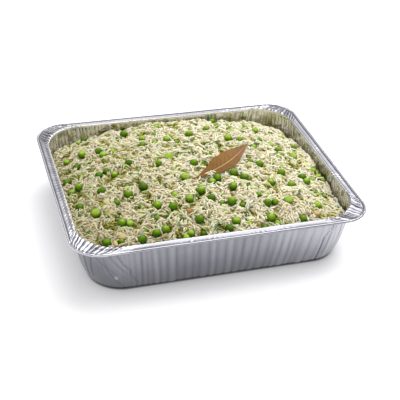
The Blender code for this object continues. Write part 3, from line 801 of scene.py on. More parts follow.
    # painted shade and highlight round the flange: each side gets its own brightness, and the front, turned away from
    # the light, is painted darkest
    _, patch, valley = crimp(0.5, 1.0)
    on_back = (S > starts[1][0] - 4) & (S < starts[1][1] + 4)
    own = 0.60 * on_left + 0.32 * (S < starts[0][1] + 8) + (0.48 + 0.28 * smooth01((S - 300.0) / 100.0)) * on_back
    own = np.where(own > 0.0, own, 0.36)
    back_left = np.exp(-(around(S, 475.0) / 40.0) ** 4)
    own = own * (1 - cw) + (0.36 + 0.48 * back_left) * cw
    front_right = np.exp(-(around(S, 985.0) / 34.0) ** 4)
    own = own * (1 - along_front) * (1 - front_right) + 0.19 * along_front * (1 - front_right) + 0.26 * front_right
    own = own * (1.0 + (1.0 * patch - 0.5) * np.maximum(cw, 0.5 * on_left))
    # painted shade and highlight across the flange from the roll to the lip: dark in the groove, bright on the plateau
    # and at the lip, softer away from the front
    flange_shade_across = [0.10, 0.08, 0.10, 0.34, 0.95, 1.0, 0.72, 1.0, 1.1, 1.2, 1.2]
    flange_shade_soft = [0.50, 0.22, 0.55, 0.80, 0.95, 1.0, 0.85, 1.0, 1.1, 1.2, 1.2]
    soft_side = 1.0 - along_front
    # painted highlight: the left side and the back left corner are lighter
    pale = np.maximum(on_left, back_left) * np.ones(n)
    valley_shade_across = [0.0, 0.1, 0.4, 0.6, 0.8, 1.0, 1.0, 1.0, 1.0, 0.8, 0.6]
    for k in range(len(faces), m):
        if k < marks["roll"]:
            faces.append(np.full(n, 0.14))
        elif k < marks["flange"]:
            # painted shade: the underside of the roll is darker, less so at the left and back left; the top of the roll
            # is darker at the front
            under = k - marks["roll"] < 4
            lit = 0.5 + (0.24 - 0.5) * np.maximum(along_front, front_right) + 0.0 * S
            faces.append(lit * (0.22 + 0.36 * pale if under else 1.0))
        elif k < marks["inside"]:
            q = min(k - marks["flange"], len(flange_shade_across) - 1)
            _, _, valley = crimp(0.1 * q, 1.0)
            # painted highlight on the inner lip at the left and back left
            edge = 1.0 + (0.7 * np.maximum(on_left, back_left) if q > 8 else 0.0)
            level = flange_shade_across[q] + (flange_shade_soft[q] - flange_shade_across[q]) * soft_side
            # painted shade in the crimp valleys
            valley_shade = valley_shade_across[q] * valley * np.maximum(1.25 * cw, 0.75 * on_left * (q > 3))
            faces.append(np.minimum(own * edge, 0.80) * level * (1.0 - np.minimum(valley_shade, 0.96)))
        else:
            flutes(52.0)
            # painted highlights on the inner pleats, broken up in random patches; the rings at the inner lip get a full
            # painted reflection
            pleat_sheen_patches = 0.86 + 0.34 * lattice_noise(S / 5.0, np.full(n, k / 2.2), 12)
            pleat_highlight = (0.50 + 0.55 * smooth01(ridge_highlight / 0.42)) * np.clip(pleat_sheen_patches, 0.5, 1.1)
            faces.append(np.clip(pleat_highlight, 0.0, 1.0) if k >= marks["inside"] + 2 else np.ones(n))
    # the painted shade and highlight values, one per vertex, for the foil material
    point_value(ob, "painted_foil_shade", np.concatenate(faces + [[0.0, 1.0]]))
    print("tray", n, "stations", m, "rings", 2 * n * m, "triangles")
    return ob


# ------------------------------------------------------------------ heap: where things lie
STEP = 0.5
GX = np.arange(-152.0, 152.0 + 1e-6, STEP)
GY = np.arange(-124.0, 124.0 + 1e-6, STEP)
XX, YY = np.meshgrid(GX, GY, indexing="ij")


def cell(x, y):
    i = np.clip(np.rint((np.asarray(x) - GX[0]) / STEP).astype(int), 0, len(GX) - 1)
    j = np.clip(np.rint((np.asarray(y) - GY[0]) / STEP).astype(int), 0, len(GY) - 1)
    return i, j


# the solid heap's lumps, plus clumps of grains a spoon leaves with gaps between
CLUMPS = 0.60 * lattice_noise(XX / 9.5 + 7.0, YY / 9.5 + 3.0, 44) + 0.85 * lattice_noise(XX / 4.6, YY / 4.6, 45)
CLUMPS = 2.0 * CLUMPS
GAPS = np.clip(-CLUMPS - 0.35, 0.0, 1.3)
SMOOTH = heap_height(XX, YY) + relief(XX, YY) - 1.0
TARGET = SMOOTH + 0.9 * CLUMPS - 1.8 * GAPS
INSIDE = wall_outline_ok(XX, YY, TARGET - 3.0, FOIL + 2.0)

# peas on top: x, y, radius, how far sunk (0 proud, 1 buried), tone (0 deep, 2 pale)
PEAS = [
    (-105, 106, 4.2, 0.20, 0), (-112, 103, 3.6, 0.50, 1), (-116, 62, 4.7, 0.10, 1), (-134, 59, 4.1, 0.30, 1),
    (-126, 44, 4.3, 0.45, 0), (-97, 60, 4.6, 0.25, 1), (-94, 50, 4.1, 0.20, 2), (-82, 55, 3.9, 0.50, 2),
    (-60, 93, 4.6, 0.20, 1), (-68, 85, 4.0, 0.50, 1), (-43, 71, 4.2, 0.30, 1), (-46, 57, 4.0, 0.30, 1),
    (-26, 78, 3.9, 0.45, 1), (-19, 100, 4.5, 0.35, 1), (9, 108, 3.6, 0.60, 1), (-16, 61, 4.4, 0.30, 2),
    (-24, 23, 4.7, 0.15, 2), (-39, 12, 4.5, 0.40, 1), (-71, 20, 4.3, 0.30, 0), (-76, 18, 3.4, 0.60, 2),
    (13, 68, 4.7, 0.20, 1), (39, 81, 4.5, 0.35, 1), (57, 114, 4.1, 0.35, 0), (53, 90, 4.2, 0.35, 1),
    (70, 96, 3.7, 0.50, 1), (56, 51, 4.7, 0.20, 1), (28, 44, 3.6, 0.60, 0), (17, 33, 3.9, 0.55, 1),
    (-1, 1, 4.6, 0.20, 1), (8, -3, 3.8, 0.45, 2), (-18, -24, 4.8, 0.15, 1), (16, -32, 4.6, 0.20, 1),
    (9, -36, 4.0, 0.30, 1), (-107, 11, 4.4, 0.40, 0), (-97, 18, 4.0, 0.50, 0), (-90, 7, 4.2, 0.35, 1),
    (-131, 2, 4.6, 0.30, 1), (-139, 1, 4.0, 0.50, 1), (-111, -22, 4.5, 0.30, 1), (-67, -29, 4.9, 0.10, 1),
    (-85, -37, 4.7, 0.25, 0), (-100, -49, 4.1, 0.35, 1), (-137, -35, 4.3, 0.40, 0), (-124, -55, 4.9, 0.15, 2),
    (-61, -66, 4.8, 0.15, 1), (-45, -71, 4.8, 0.15, 1), (-24, -61, 4.4, 0.25, 1), (-8, -50, 4.8, 0.20, 1),
    (-16, -59, 3.9, 0.50, 0), (0, -63, 4.0, 0.30, 0), (8, -74, 3.8, 0.55, 0), (-102, -82, 4.6, 0.20, 1),
    (-94, -84, 4.2, 0.30, 1), (-65, -82, 3.8, 0.50, 1), (-23, -95, 4.8, 0.12, 1), (-61, -101, 4.6, 0.15, 1),
    (-115, 41, 3.4, 0.70, 1), (-63, 6, 3.6, 0.65, 1), (-38, -50, 3.8, 0.60, 2), (106, 112, 3.7, 0.50, 1),
    (90, 87, 3.9, 0.40, 1), (98, 72, 4.4, 0.25, 1), (105, 69, 3.4, 0.55, 1), (68, 44, 4.2, 0.35, 1),
    (80, 28, 4.4, 0.50, 1), (103, 33, 3.7, 0.50, 2), (108, 20, 4.4, 0.35, 1), (117, 68, 3.5, 0.55, 1),
    (128, 59, 4.0, 0.45, 1), (139, 90, 3.3, 0.60, 0), (132, 31, 4.2, 0.30, 0), (122, 7, 4.7, 0.20, 1),
    (73, -10, 4.7, 0.25, 0), (92, -31, 4.9, 0.15, 1), (73, -48, 4.4, 0.30, 1), (37, -26, 4.8, 0.15, 1),
    (47, -33, 4.5, 0.25, 1), (29, -49, 4.4, 0.35, 1), (97, -50, 4.2, 0.40, 1), (117, -34, 4.6, 0.30, 1),
    (118, -44, 4.5, 0.15, 1), (139, -15, 3.9, 0.35, 1), (141, -26, 3.8, 0.30, 1), (144, -33, 3.6, 0.50, 0),
    (19, -74, 4.9, 0.12, 1), (56, -84, 4.6, 0.15, 1), (65, -83, 4.1, 0.30, 1),
    (81, -82, 4.7, 0.20, 1), (113, -88, 4.5, 0.25, 1), (53, -104, 4.9, 0.10, 1), (88, -108, 4.7, 0.15, 1),
    (15, -102, 4.6, 0.30, 1), (29, -92, 3.7, 0.60, 0), (136, -59, 3.6, 0.60, 1), (5, -110, 4.5, 0.25, 0),
    (-87, -108, 4.9, 0.12, 0), (-71, -103, 4.6, 0.20, 0), (-122, -101, 4.4, 0.20, 0), (-42, -112, 4.2, 0.40, 2),
    (-136, -80, 3.4, 0.70, 1), (44, -112, 3.5, 0.60, 1), (59, -108, 3.8, 0.55, 2),
    (-36, -108, 4.0, 0.40, 2), (-141, 21, 4.2, 0.40, 0),
]


# chopped herbs (x, y, length) and golden onion bits (x, y, length, 0 pale to 1 brown) in plain sight
HERBS = [
    (-61, 41, 5.7), (-73, 9, 4.8), (-65, 3, 3.8), (-84, 17, 5.7), (-86, 33, 3.8), (-115, 38, 3.8),
    (-119, 23, 2.8), (-90, 71, 3.8), (-86, 84, 2.8), (-130, 26, 2.8), (-67, 53, 2.8), (39, 40, 5.7),
    (5, 25, 7.6), (3, 47, 5.7), (17, 20, 3.8), (24, 30, 3.8), (12, 52, 4.8), (52, 40, 3.8), (76, 29, 5.7),
    (65, 15, 3.8), (66, 9, 4.8), (15, -14, 5.7), (5, -32, 4.8), (23, 33, 2.8), (-4, 34, 5.7), (86, 35, 4.8),
    (15, -39, 2.8), (50, -49, 3.8), (40, 44, 3.8), (55, 43, 3.8), (44, 68, 2.8), (85, 60, 2.8), (121, 33, 3.8),
    (99, 9, 4.8), (75, 6, 3.8), (84, 11, 2.8), (108, -23, 3.8), (132, 14, 2.8), (149, 45, 3.8), (152, 23, 2.8),
    (70, 113, 2.8), (106, 57, 3.8), (76, 85, 2.8), (-84, -52, 7.6), (-28, -33, 5.7), (-72, -44, 4.8),
    (-42, -31, 4.8), (-16, -60, 4.8), (-68, -73, 3.8), (-26, -71, 3.8), (-29, -87, 4.8), (-47, -96, 4.8),
    (-44, -99, 3.8), (-48, -109, 7.6), (-6, -106, 7.6), (-32, -106, 4.8), (-57, -106, 3.8), (-3, -81, 3.8),
    (-64, -82, 3.8), (-105, -8, 3.8), (-121, -12, 3.8), (-108, -13, 2.8), (-141, 26, 5.7), (-142, 0, 4.8),
    (-137, -81, 4.8), (-122, -87, 2.8), (-105, -69, 4.8), (-69, -74, 4.8), (-140, -30, 2.8), (-142, -41, 3.8),
    (-91, -13, 3.8), (-86, -15, 2.8), (-56, -17, 2.8), (-52, -16, 3.8), (-147, -47, 2.8), (-135, -66, 2.8),
    (-111, -71, 3.8), (37, -86, 4.8), (29, -90, 4.8), (28, -95, 2.8), (10, -75, 4.8), (11, -95, 3.8),
    (72, -71, 3.8), (99, -71, 4.8), (86, -83, 3.8), (136, -61, 4.8), (132, -53, 2.8), (43, -53, 2.8),
    (-11, -93, 5.7), (-6, -102, 4.8), (61, -107, 3.8), (45, -107, 3.8), (89, -96, 2.8), (84, -36, 2.8),
    (103, -24, 3.8), (150, -14, 4.8), (152, -22, 3.8), (136, -37, 2.8), (30, -45, 2.8), (92, -31, 2.8),
    (27, -57, 2.8), (-13, 28, 5.7), (-18, 36, 2.8), (-29, 38, 2.8), (-63, 40, 5.7), (-69, 39, 3.8),
    (-59, 52, 2.8), (-47, 39, 3.8), (-44, 48, 3.8), (-26, 65, 2.8), (-24, 58, 2.8), (-35, 74, 2.8),
    (-2, 39, 2.8), (14, 55, 3.8), (1, 91, 2.8), (5, 77, 2.8), (-1, 115, 3.8), (3, 115, 2.8), (48, 65, 2.8),
    (5, 26, 6.6), (23, 30, 2.8), (-87, 28, 2.8), (-85, 92, 2.8),
]
GOLD = [
    (-106, -97, 12.0, 0.1), (-110, -46, 9.0, 0), (-110, -64, 8.0, 0), (107, -101, 8.0, 0.3),
    (98, -101, 7.0, 0.2), (68, -88, 5.0, 0.4), (24, -62, 5.0, 0.8), (14, -68, 3.5, 0.6), (25, -36, 5.0, 0.5),
    (120, -74, 3.0, 0.9), (122, -15, 4.0, 0.4), (36, -106, 6.0, 0.2), (26, 70, 8.0, 0.5), (35, 50, 7.0, 0.5),
    (-79, 35, 5.0, 0.4), (-78, 96, 5.0, 0.4), (8, 20, 4.0, 0.6), (71, 69, 7.5, 0.6), (85, 127, 5.0, 0.6),
    (-103, 41, 5.0, 0.4), (-142, 50, 6.0, 0.3), (-115, 55, 4.0, 0.4), (-30, -80, 7.0, 0.85),
    (-27, -108, 6.0, 0.3), (-65, -108, 7.0, 0.2), (-52, -63, 4.0, 0.5), (-114, -107, 8.0, 0.1),
    (-91, -29, 5.0, 0.4), (-142, 11, 4.0, 0.5), (-141, -61, 5.0, 0.5),
]


# ------------------------------------------------------------------ bay leaf's shape
LEAF_STEM, LEAF_TURN, LEAF_LENGTH, LEAF_WIDTH, LEAF_BOW = (-13.0, -32.5), math.radians(33.8), 101.0, 31.0, -5.5
# half widths either side of the midrib: share along the leaf, mm
UPPER_HALF = ((0.0, 0.0), (0.05, 0.3), (0.10, 1.8), (0.15, 3.6), (0.24, 7.3), (0.375, 12.4), (0.485, 15.3),
              (0.61, 16.0), (0.68, 14.8), (0.743, 12.4), (0.80, 9.8), (0.86, 6.8), (0.94, 2.9), (1.0, 0.0))
LOWER_HALF = ((0.0, 0.0), (0.03, 0.2), (0.121, 2.6), (0.243, 6.2), (0.33, 8.8), (0.40, 10.4), (0.456, 11.0),
              (0.563, 10.5), (0.64, 9.2), (0.728, 6.9), (0.815, 4.5), (0.93, 1.6), (1.0, 0.0))
LEAF_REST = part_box("bay_leaf")[0][2] * 1000.0


def leaf_grid(us, vs):
    """Leaf surface at shares us along it and vs (-1..1) across it."""
    f, v = np.meshgrid(us, vs, indexing="ij")
    along = np.array([math.cos(LEAF_TURN), math.sin(LEAF_TURN)])
    across = np.array([-along[1], along[0]])
    half = np.where(v > 0, np.interp(f, *zip(*UPPER_HALF)), np.interp(f, *zip(*LOWER_HALF)))
    stalk = np.where(f < 0.2, 0.9 - 2.0 * np.clip(f, 0, 0.2), 0.5) * smooth01((1.0 - f) / 0.02)
    half = np.maximum(half, stalk)
    # edges gently uneven
    wavy = 1.0 + 0.025 * np.sin(f * 27.0 + np.where(v > 0, 2.0, 0.3)) + 0.012 * np.sin(f * 61.0 + v)
    w = half * v * wavy
    bow = LEAF_BOW * np.sin(math.pi * f)
    x = LEAF_STEM[0] + along[0] * LEAF_LENGTH * f + across[0] * (bow + w)
    y = LEAF_STEM[1] + along[1] * LEAF_LENGTH * f + across[1] * (bow + w)
    share = np.abs(w) / (LEAF_WIDTH / 2)
    z = LEAF_REST + 1.5 + 2.3 * share ** 1.5
    z += 0.55 * np.sin(f * 15.0 + np.where(v > 0, 0.8, 2.4)) * share ** 1.5
    z += 0.13 * np.sin((f - 0.10 * np.abs(v)) * 82.0) * (1 - np.abs(v)) * np.abs(v) * 4
    z += 2.4 * smooth01((f - 0.62) / 0.38) - 1.0 * np.sin(math.pi * f) + 0.5 * smooth01((0.25 - f) / 0.25)
    z += 0.45 * np.exp(-(w / 0.75) ** 2)
    return x, y, z, f, v


_lx, _ly, _lz, _, _ = leaf_grid(np.linspace(0, 1, 420), np.linspace(-1, 1, 150))
LEAF_Z = np.full(XX.shape, np.nan)
_i, _j = cell(_lx.ravel(), _ly.ravel())
LEAF_Z[_i, _j] = _lz.ravel()
# grown by a millimetre so that grains keep clear of the edge
for _ in range(2):
    for _ax in (0, 1):
        for _d in (-1, 1):
            _r = np.roll(LEAF_Z, _d, _ax)
            LEAF_Z = np.where(np.isnan(LEAF_Z), _r, LEAF_Z)
UNDER_LEAF = ~np.isnan(LEAF_Z)
CAP = np.where(UNDER_LEAF, LEAF_Z - 0.3, TARGET + 3.6)
TARGET = np.where(UNDER_LEAF, np.minimum(TARGET, LEAF_Z - 1.1), TARGET)


def depth_at(x, y, z):
    """0 in the hollows between clumps, 1 on top of them; a little for height within the clump."""
    ci, cj = cell(x, y)
    clump = TARGET[ci, cj] - SMOOTH[ci, cj]
    clump = np.where(UNDER_LEAF[ci, cj], 0.0, clump)
    return np.clip(0.64 + 0.26 * clump + 0.17 * (z - TARGET[ci, cj]), 0.0, 1.0)


def build_core():
    """Closed body under the loose grains, rough with half-grain relief."""
    nx, ny = 150, 120
    u, v = np.meshgrid(np.linspace(-1, 1, nx + 1), np.linspace(-1, 1, ny + 1), indexing="ij")
    rho = np.maximum(np.maximum(np.abs(u), np.abs(v)), 1e-9)
    su, sv = u / rho, v / rho

    def rounded(su, sv, z, inset):
        f = z / LIP_Z
        grow = WALL_BOW * 4.0 * f * (1.0 - f) - inset
        a = BASE_A + (LIP_A - BASE_A) * f + grow
        b = BASE_B + (LIP_B - BASE_B) * f + grow
        r = BASE_R + (LIP_R - BASE_R) * f + grow
        x, y = su * a, sv * b
        kx, ky = np.abs(x) - (a - r), np.abs(y) - (b - r)
        both = (kx > 0) & (ky > 0)
        big, small = np.maximum(kx, ky), np.minimum(kx, ky)
        t = np.radians(45.0) * small / np.maximum(big, 1e-9)
        cx = np.where(kx >= ky, r * np.cos(t), r * np.sin(t))
        cy = np.where(kx >= ky, r * np.sin(t), r * np.cos(t))
        x = np.where(both, np.sign(x) * (a - r + cx), x)
        y = np.where(both, np.sign(y) * (b - r + cy), y)
        return x + BASE_SHIFT * np.maximum(0, 1 - f), y

    z0 = edge_height(su * LIP_A, sv * LIP_B) - 3.0
    bx, by = rounded(su, sv, z0, FOIL + 2.9)
    x, y = bx * rho, by * rho
    ci, cj = cell(x, y)
    fine = (0.9 * lattice_noise(x / 2.6, y / 2.6, 51) + 0.6 * lattice_noise(x / 1.6, y / 1.6, 52))
    top = TARGET[ci, cj] - 1.9 + 0.7 * fine
    V = [np.stack([x.ravel(), y.ravel(), top.ravel()], 1)]
    idx = np.arange((nx + 1) * (ny + 1)).reshape(nx + 1, ny + 1)
    F = np.stack([idx[:-1, :-1].ravel(), idx[1:, :-1].ravel(), idx[1:, 1:].ravel(), idx[:-1, 1:].ravel()], 1).tolist()
    walk = ([(i, 0) for i in range(nx)] + [(nx, j) for j in range(ny)]
            + [(i, ny) for i in range(nx, 0, -1)] + [(0, j) for j in range(ny, 0, -1)])
    wi = np.array(walk)
    prev = idx[wi[:, 0], wi[:, 1]]
    count = len(V[0])
    wsu, wsv = su[wi[:, 0], wi[:, 1]], sv[wi[:, 0], wi[:, 1]]
    n = len(prev)
    for z, inset in ((30.0, FOIL + 3.0), (6.0, FOIL + 3.0), (FOIL + 0.5, FOIL + 4.6)):
        rx, ry = rounded(wsu, wsv, np.full(n, z), inset)
        V.append(np.stack([rx, ry, np.full(n, z)], 1))
        cur = np.arange(count, count + n)
        for k in range(n):
            m = (k + 1) % n
            F.append([int(prev[k]), int(cur[k]), int(cur[m]), int(prev[m])])
        prev = cur
        count += n
    F.append([int(i) for i in prev[::-1]])
    ob = make_object("rice_core", np.concatenate(V), F, MAT_CORE)
    bm = bmesh.new()
    bm.from_mesh(ob.data)
    bmesh.ops.recalc_face_normals(bm, faces=bm.faces)
    bm.to_mesh(ob.data)
    bm.free()
    ob.data.polygons.foreach_set("use_smooth", np.ones(len(ob.data.polygons), dtype=bool))
    # depth value for the painted shade in the hollows
    low = depth_at(x, y, top + 1.2).ravel()
    point_value(ob, "depth", np.concatenate([low, np.zeros(len(ob.data.vertices) - len(low))]))
    return ob


# ------------------------------------------------------------------ loose grains
HMAP = np.where(INSIDE, TARGET - 1.9, 200.0)
SHARED = 0.42                            # how much of a grain's shading follows its clump
_gx, _gy = np.gradient(SMOOTH + 0.9 * CLUMPS, STEP)
CLUMP_NORMAL = np.stack([-1.3 * _gx, -1.3 * _gy, np.ones_like(_gx)], 2)
CLUMP_NORMAL /= np.linalg.norm(CLUMP_NORMAL, axis=2)[:, :, None]
# neighbouring grains lie roughly alike, in little fans
LEAN = 4.2 * (lattice_noise(XX / 8.0 + 31.0, YY / 8.0 + 17.0, 61) + 0.5 * lattice_noise(XX / 4.0, YY / 4.0, 62))


def place_peas(peas, seat=0.80, slope=1.55):
    """Final pea centres, and their tops written into the height map."""
    out = []
    for x, y, r, sunk, tone in peas:
        i, j = cell(x, y)
        near = (XX - x) ** 2 + (YY - y) ** 2 < (2.0 * r) ** 2
        level = float(np.mean(TARGET[near & INSIDE])) if (near & INSIDE).any() else float(TARGET[i, j])
        z = level + r * (seat - slope * sunk)
        out.append((x, y, z, r, sunk, tone))
        d2 = (XX - x) ** 2 + (YY - y) ** 2
        m = (d2 < (r * 0.98) ** 2) & INSIDE
        HMAP[m] = np.maximum(HMAP[m], z + np.sqrt(np.maximum(r * r - d2[m], 0)))
    return out


def drop_grains(count, seed, length, radius, lift, shaggy, peas, keep_off, allowed=None, cap=None, sink=0.85):
    """Drop grains one by one on the height map; each rests on what it meets.

    Returns centre, direction, half length, radius and height above the aim for each.
    """
    g = np.random.default_rng(seed)
    px = np.array([p[0] for p in peas])
    py = np.array([p[1] for p in peas])
    pr = np.array([p[3] * keep_off(p[4]) for p in peas])
    T = np.linspace(-1, 1, 9)
    out = []
    tries = 0
    ok = INSIDE if allowed is None else (INSIDE & allowed)
    cap = CAP if cap is None else cap
    ii, jj = np.where(ok)
    target = TARGET + lift
    while len(out) < count and tries < count * 7:
        tries += 1
        pick = g.integers(0, len(ii), 10)
        need = (target - HMAP)[ii[pick], jj[pick]] + g.normal(0, 0.5, 10)
        b = int(np.argmax(need))
        if need[b] < -0.7:
            continue
        x, y = GX[ii[pick[b]]] + g.uniform(-0.25, 0.25), GY[jj[pick[b]]] + g.uniform(-0.25, 0.25)
        if len(px) and np.any((px - x) ** 2 + (py - y) ** 2 < pr ** 2):
            continue
        half = 0.5 * float(np.clip(g.normal(length, 1.2), length * 0.5, length * 1.35))
        if g.random() < 0.12:
            half *= 0.6
        r = float(np.clip(g.normal(radius, 0.09), radius * 0.8, radius * 1.2))
        gi, gj = cell(x, y)
        phi = float(LEAN[gi, gj]) + g.normal(0, 0.6)
        c, s = math.cos(phi), math.sin(phi)
        t = T * half
        sx, sy = x + c * t, y + s * t
        i, j = cell(sx, sy)
        h = HMAP[i, j]
        if h.max() > 150:
            continue
        i2, j2 = cell(sx - s * 0.6, sy + c * 0.6)
        i3, j3 = cell(sx + s * 0.6, sy - c * 0.6)
        h = np.maximum(h, np.minimum(np.maximum(HMAP[i2, j2], HMAP[i3, j3]), h + 1.0))
        hl, hr = h[:4][:, None], h[5:][None, :]
        tl, tr = t[:4][:, None], t[5:][None, :]
        z0 = (hl * tr - hr * tl) / (tr - tl)
        slope = (hr - hl) / (tr - tl)
        k = int(np.argmax(z0))
        zc = float(z0.flat[k])
        sl = float(slope.flat[k])
        if h[4] > zc:
            zc = float(h[4])
            sl = float(np.clip(sl, -0.5, 0.5))
        if abs(sl) > 1.35:
            continue
        if g.random() < shaggy:
            extra = float(g.uniform(0.3, 1.15)) * (1 if g.random() < 0.5 else -1)
            sl2 = float(np.clip(sl + extra, -1.6, 1.6))
            zc += abs(sl2 - sl) * half * 0.40 - 0.6
            sl = sl2
        zc += r - sink
        nrm = 1.0 / math.sqrt(1 + sl * sl)
        half_h = half * nrm
        tt = T * half_h
        i, j = cell(x + c * tt, y + s * tt)
        if np.any(zc + sl * tt + r > cap[i, j]):
            continue
        i0, j0 = cell(x, y)
        out.append((x, y, zc, c * nrm, s * nrm, sl * nrm, half, r, zc - TARGET[i0, j0]))
        tt = np.linspace(-half_h, half_h, max(5, int(half_h * 4)))
        for off in (-0.6, 0.0, 0.6):
            i, j = cell(x + c * tt - s * off, y + s * tt + c * off)
            zt = zc + sl * tt + (r if off == 0.0 else r * 0.75)
            zt = np.minimum(zt, target[i, j] + 3.0)
            keep = HMAP[i, j] < 150
            np.maximum.at(HMAP, (i[keep], j[keep]), zt[keep])
    return np.array(out)


def grain_template(sides, rings):
    """Rings along -1..1 with their radius share; tips are points."""
    ang = 2 * np.pi * (np.arange(sides) + 0.5) / sides
    V, F = [(-1.0, 0.0, 0.0)], []
    for t, rad in rings:
        for a in ang:
            V.append((t, rad * math.cos(a), rad * math.sin(a)))
    V.append((1.0, 0.0, 0.0))
    last = len(V) - 1
    for k in range(sides):
        F.append((0, 1 + (k + 1) % sides, 1 + k))
        F.append((last, 1 + (len(rings) - 1) * sides + k, 1 + (len(rings) - 1) * sides + (k + 1) % sides))
    for q in range(len(rings) - 1):
        a0, b0 = 1 + q * sides, 1 + (q + 1) * sides
        for k in range(sides):
            m = (k + 1) % sides
            F.append((a0 + k, a0 + m, b0 + m))
            F.append((a0 + k, b0 + m, b0 + k))
    return np.array(V), np.array(F)


def grains_mesh(name, grains, template, seed, mat):
    TV, TF = template
    g = np.random.default_rng(seed)
    n = len(grains)
    c = grains[:, 0:3]
    d = grains[:, 3:6]
    half, rad = grains[:, 6], grains[:, 7]
    up = np.tile([0.0, 0.0, 1.0], (n, 1))
    side = np.cross(d, up)
    side /= np.maximum(np.linalg.norm(side, axis=1), 1e-6)[:, None]
    up = np.cross(side, d)
    roll = g.uniform(0, 2 * np.pi, n)
    s2 = side * np.cos(roll)[:, None] + up * np.sin(roll)[:, None]
    u2 = -side * np.sin(roll)[:, None] + up * np.cos(roll)[:, None]
    bend = g.normal(0, 0.07, n)                # bow, as a share of half length
    twist = g.normal(0, 0.045, n)
    flat = g.uniform(0.86, 1.0, n)
    taper = g.uniform(-0.14, 0.14, n)
    t = TV[:, 0][None, :]
    bow = bend[:, None] * half[:, None] * (1.0 - t ** 2) * 1.6
    kink = twist[:, None] * half[:, None] * np.sin(t * 2.4)
    rr = rad[:, None] * (1.0 + taper[:, None] * t)
    P = (c[:, None, :] + d[:, None, :] * (t * half[:, None])[:, :, None]
         + s2[:, None, :] * (TV[:, 1][None, :] * rr + bow)[:, :, None]
         + u2[:, None, :] * (TV[:, 2][None, :] * rr * flat[:, None] + kink)[:, :, None])
    V = P.reshape(-1, 3)
    F = (TF[None, :, :] + (np.arange(n) * len(TV))[:, None, None]).reshape(-1, 3)
    ob = make_object(name, V, F, mat)
    # the depth value sets the painted shade in the hollows and the painted glow
    point_value(ob, "depth", depth_at(V[:, 0], V[:, 1], V[:, 2]))
    own = (s2[:, None, :] * TV[:, 1][None, :, None] + u2[:, None, :] * TV[:, 2][None, :, None]
           + d[:, None, :] * (0.6 * t ** 3)[:, :, None]).reshape(-1, 3)
    own /= np.maximum(np.linalg.norm(own, axis=1), 1e-6)[:, None]
    # how far each point of a grain faces up, for the painted shade on grain undersides
    point_value(ob, "turned", np.clip(own[:, 2] * 0.6 + 0.45, 0.0, 1.0))
    ci, cj = cell(V[:, 0], V[:, 1])
    soft = own * (1.0 - SHARED) + CLUMP_NORMAL[ci, cj] * SHARED
    soft /= np.maximum(np.linalg.norm(soft, axis=1), 1e-6)[:, None]
    at = ob.data.attributes.new("soft", "FLOAT_VECTOR", "POINT")
    at.data.foreach_set("vector", soft.astype(np.float32).ravel())
    return ob


def build_peas(name, peas, seed, level):
    tmpl = bmesh.new()
    bmesh.ops.create_icosphere(tmpl, subdivisions=level, radius=1.0)
    TV = np.array([v.co[:] for v in tmpl.verts])
    TF = np.array([[v.index for v in f.verts] for f in tmpl.faces])
    tmpl.free()
    g = np.random.default_rng(seed)
    VV, FF, tones = [], [], []
    for k, (x, y, z, r, sunk, tone) in enumerate(peas):
        D = TV.copy()
        rad = np.ones(len(D))
        off = g.uniform(-50, 50, 3)
        for v_i, v in enumerate(D):
            p = Vector((v[0] * 1.1 + off[0], v[1] * 1.1 + off[1], v[2] * 1.1 + off[2]))
            rad[v_i] += 0.06 * noise.noise(p)
        # soft dimples and a crescent fold where the skin has drawn in
        for _ in range(int(g.integers(1, 4))):
            axis = g.normal(0, 1, 3)
            axis[2] = abs(axis[2]) * 0.9
            axis /= np.linalg.norm(axis)
            dot = D @ axis
            w = g.uniform(0.20, 0.40)
            rad -= g.uniform(0.04, 0.15) * np.exp(-((1 - dot) / (w * w)) ** 1.2)
        if g.random() < 0.6:
            axis = g.normal(0, 1, 3)
            axis[2] = abs(axis[2]) + 0.4
            axis /= np.linalg.norm(axis)
            ring = D @ axis
            other = np.cross(axis, g.normal(0, 1, 3))
            other /= np.linalg.norm(other)
            half_ring = smooth01((D @ other + 0.3) / 0.6)
            rad -= g.uniform(0.04, 0.08) * half_ring * np.exp(-((ring - g.uniform(0.5, 0.8)) / 0.09) ** 2)
        squash = 1 + g.normal(0, 0.04, 3)
        a = g.uniform(0, 2 * np.pi)
        R = np.array([[math.cos(a), -math.sin(a), 0], [math.sin(a), math.cos(a), 0], [0, 0, 1]])
        P = (D * rad[:, None] * squash) @ R.T * r + np.array([x, y, z])
        VV.append(P)
        FF.append(TF + k * len(TV))
        own = (0.38, 0.58, 0.82)[tone] + g.normal(0, 0.13)
        # painted shade: the tone rises toward each pea's top and falls toward its underside, on top of the pea's own
        # tone
        tones.append(np.clip(own + 0.50 * TV[:, 2] - 0.12, 0, 1))
    ob = make_object(name, np.concatenate(VV), np.concatenate(FF), MAT_PEA)
    point_value(ob, "tone", np.concatenate(tones))
    return ob


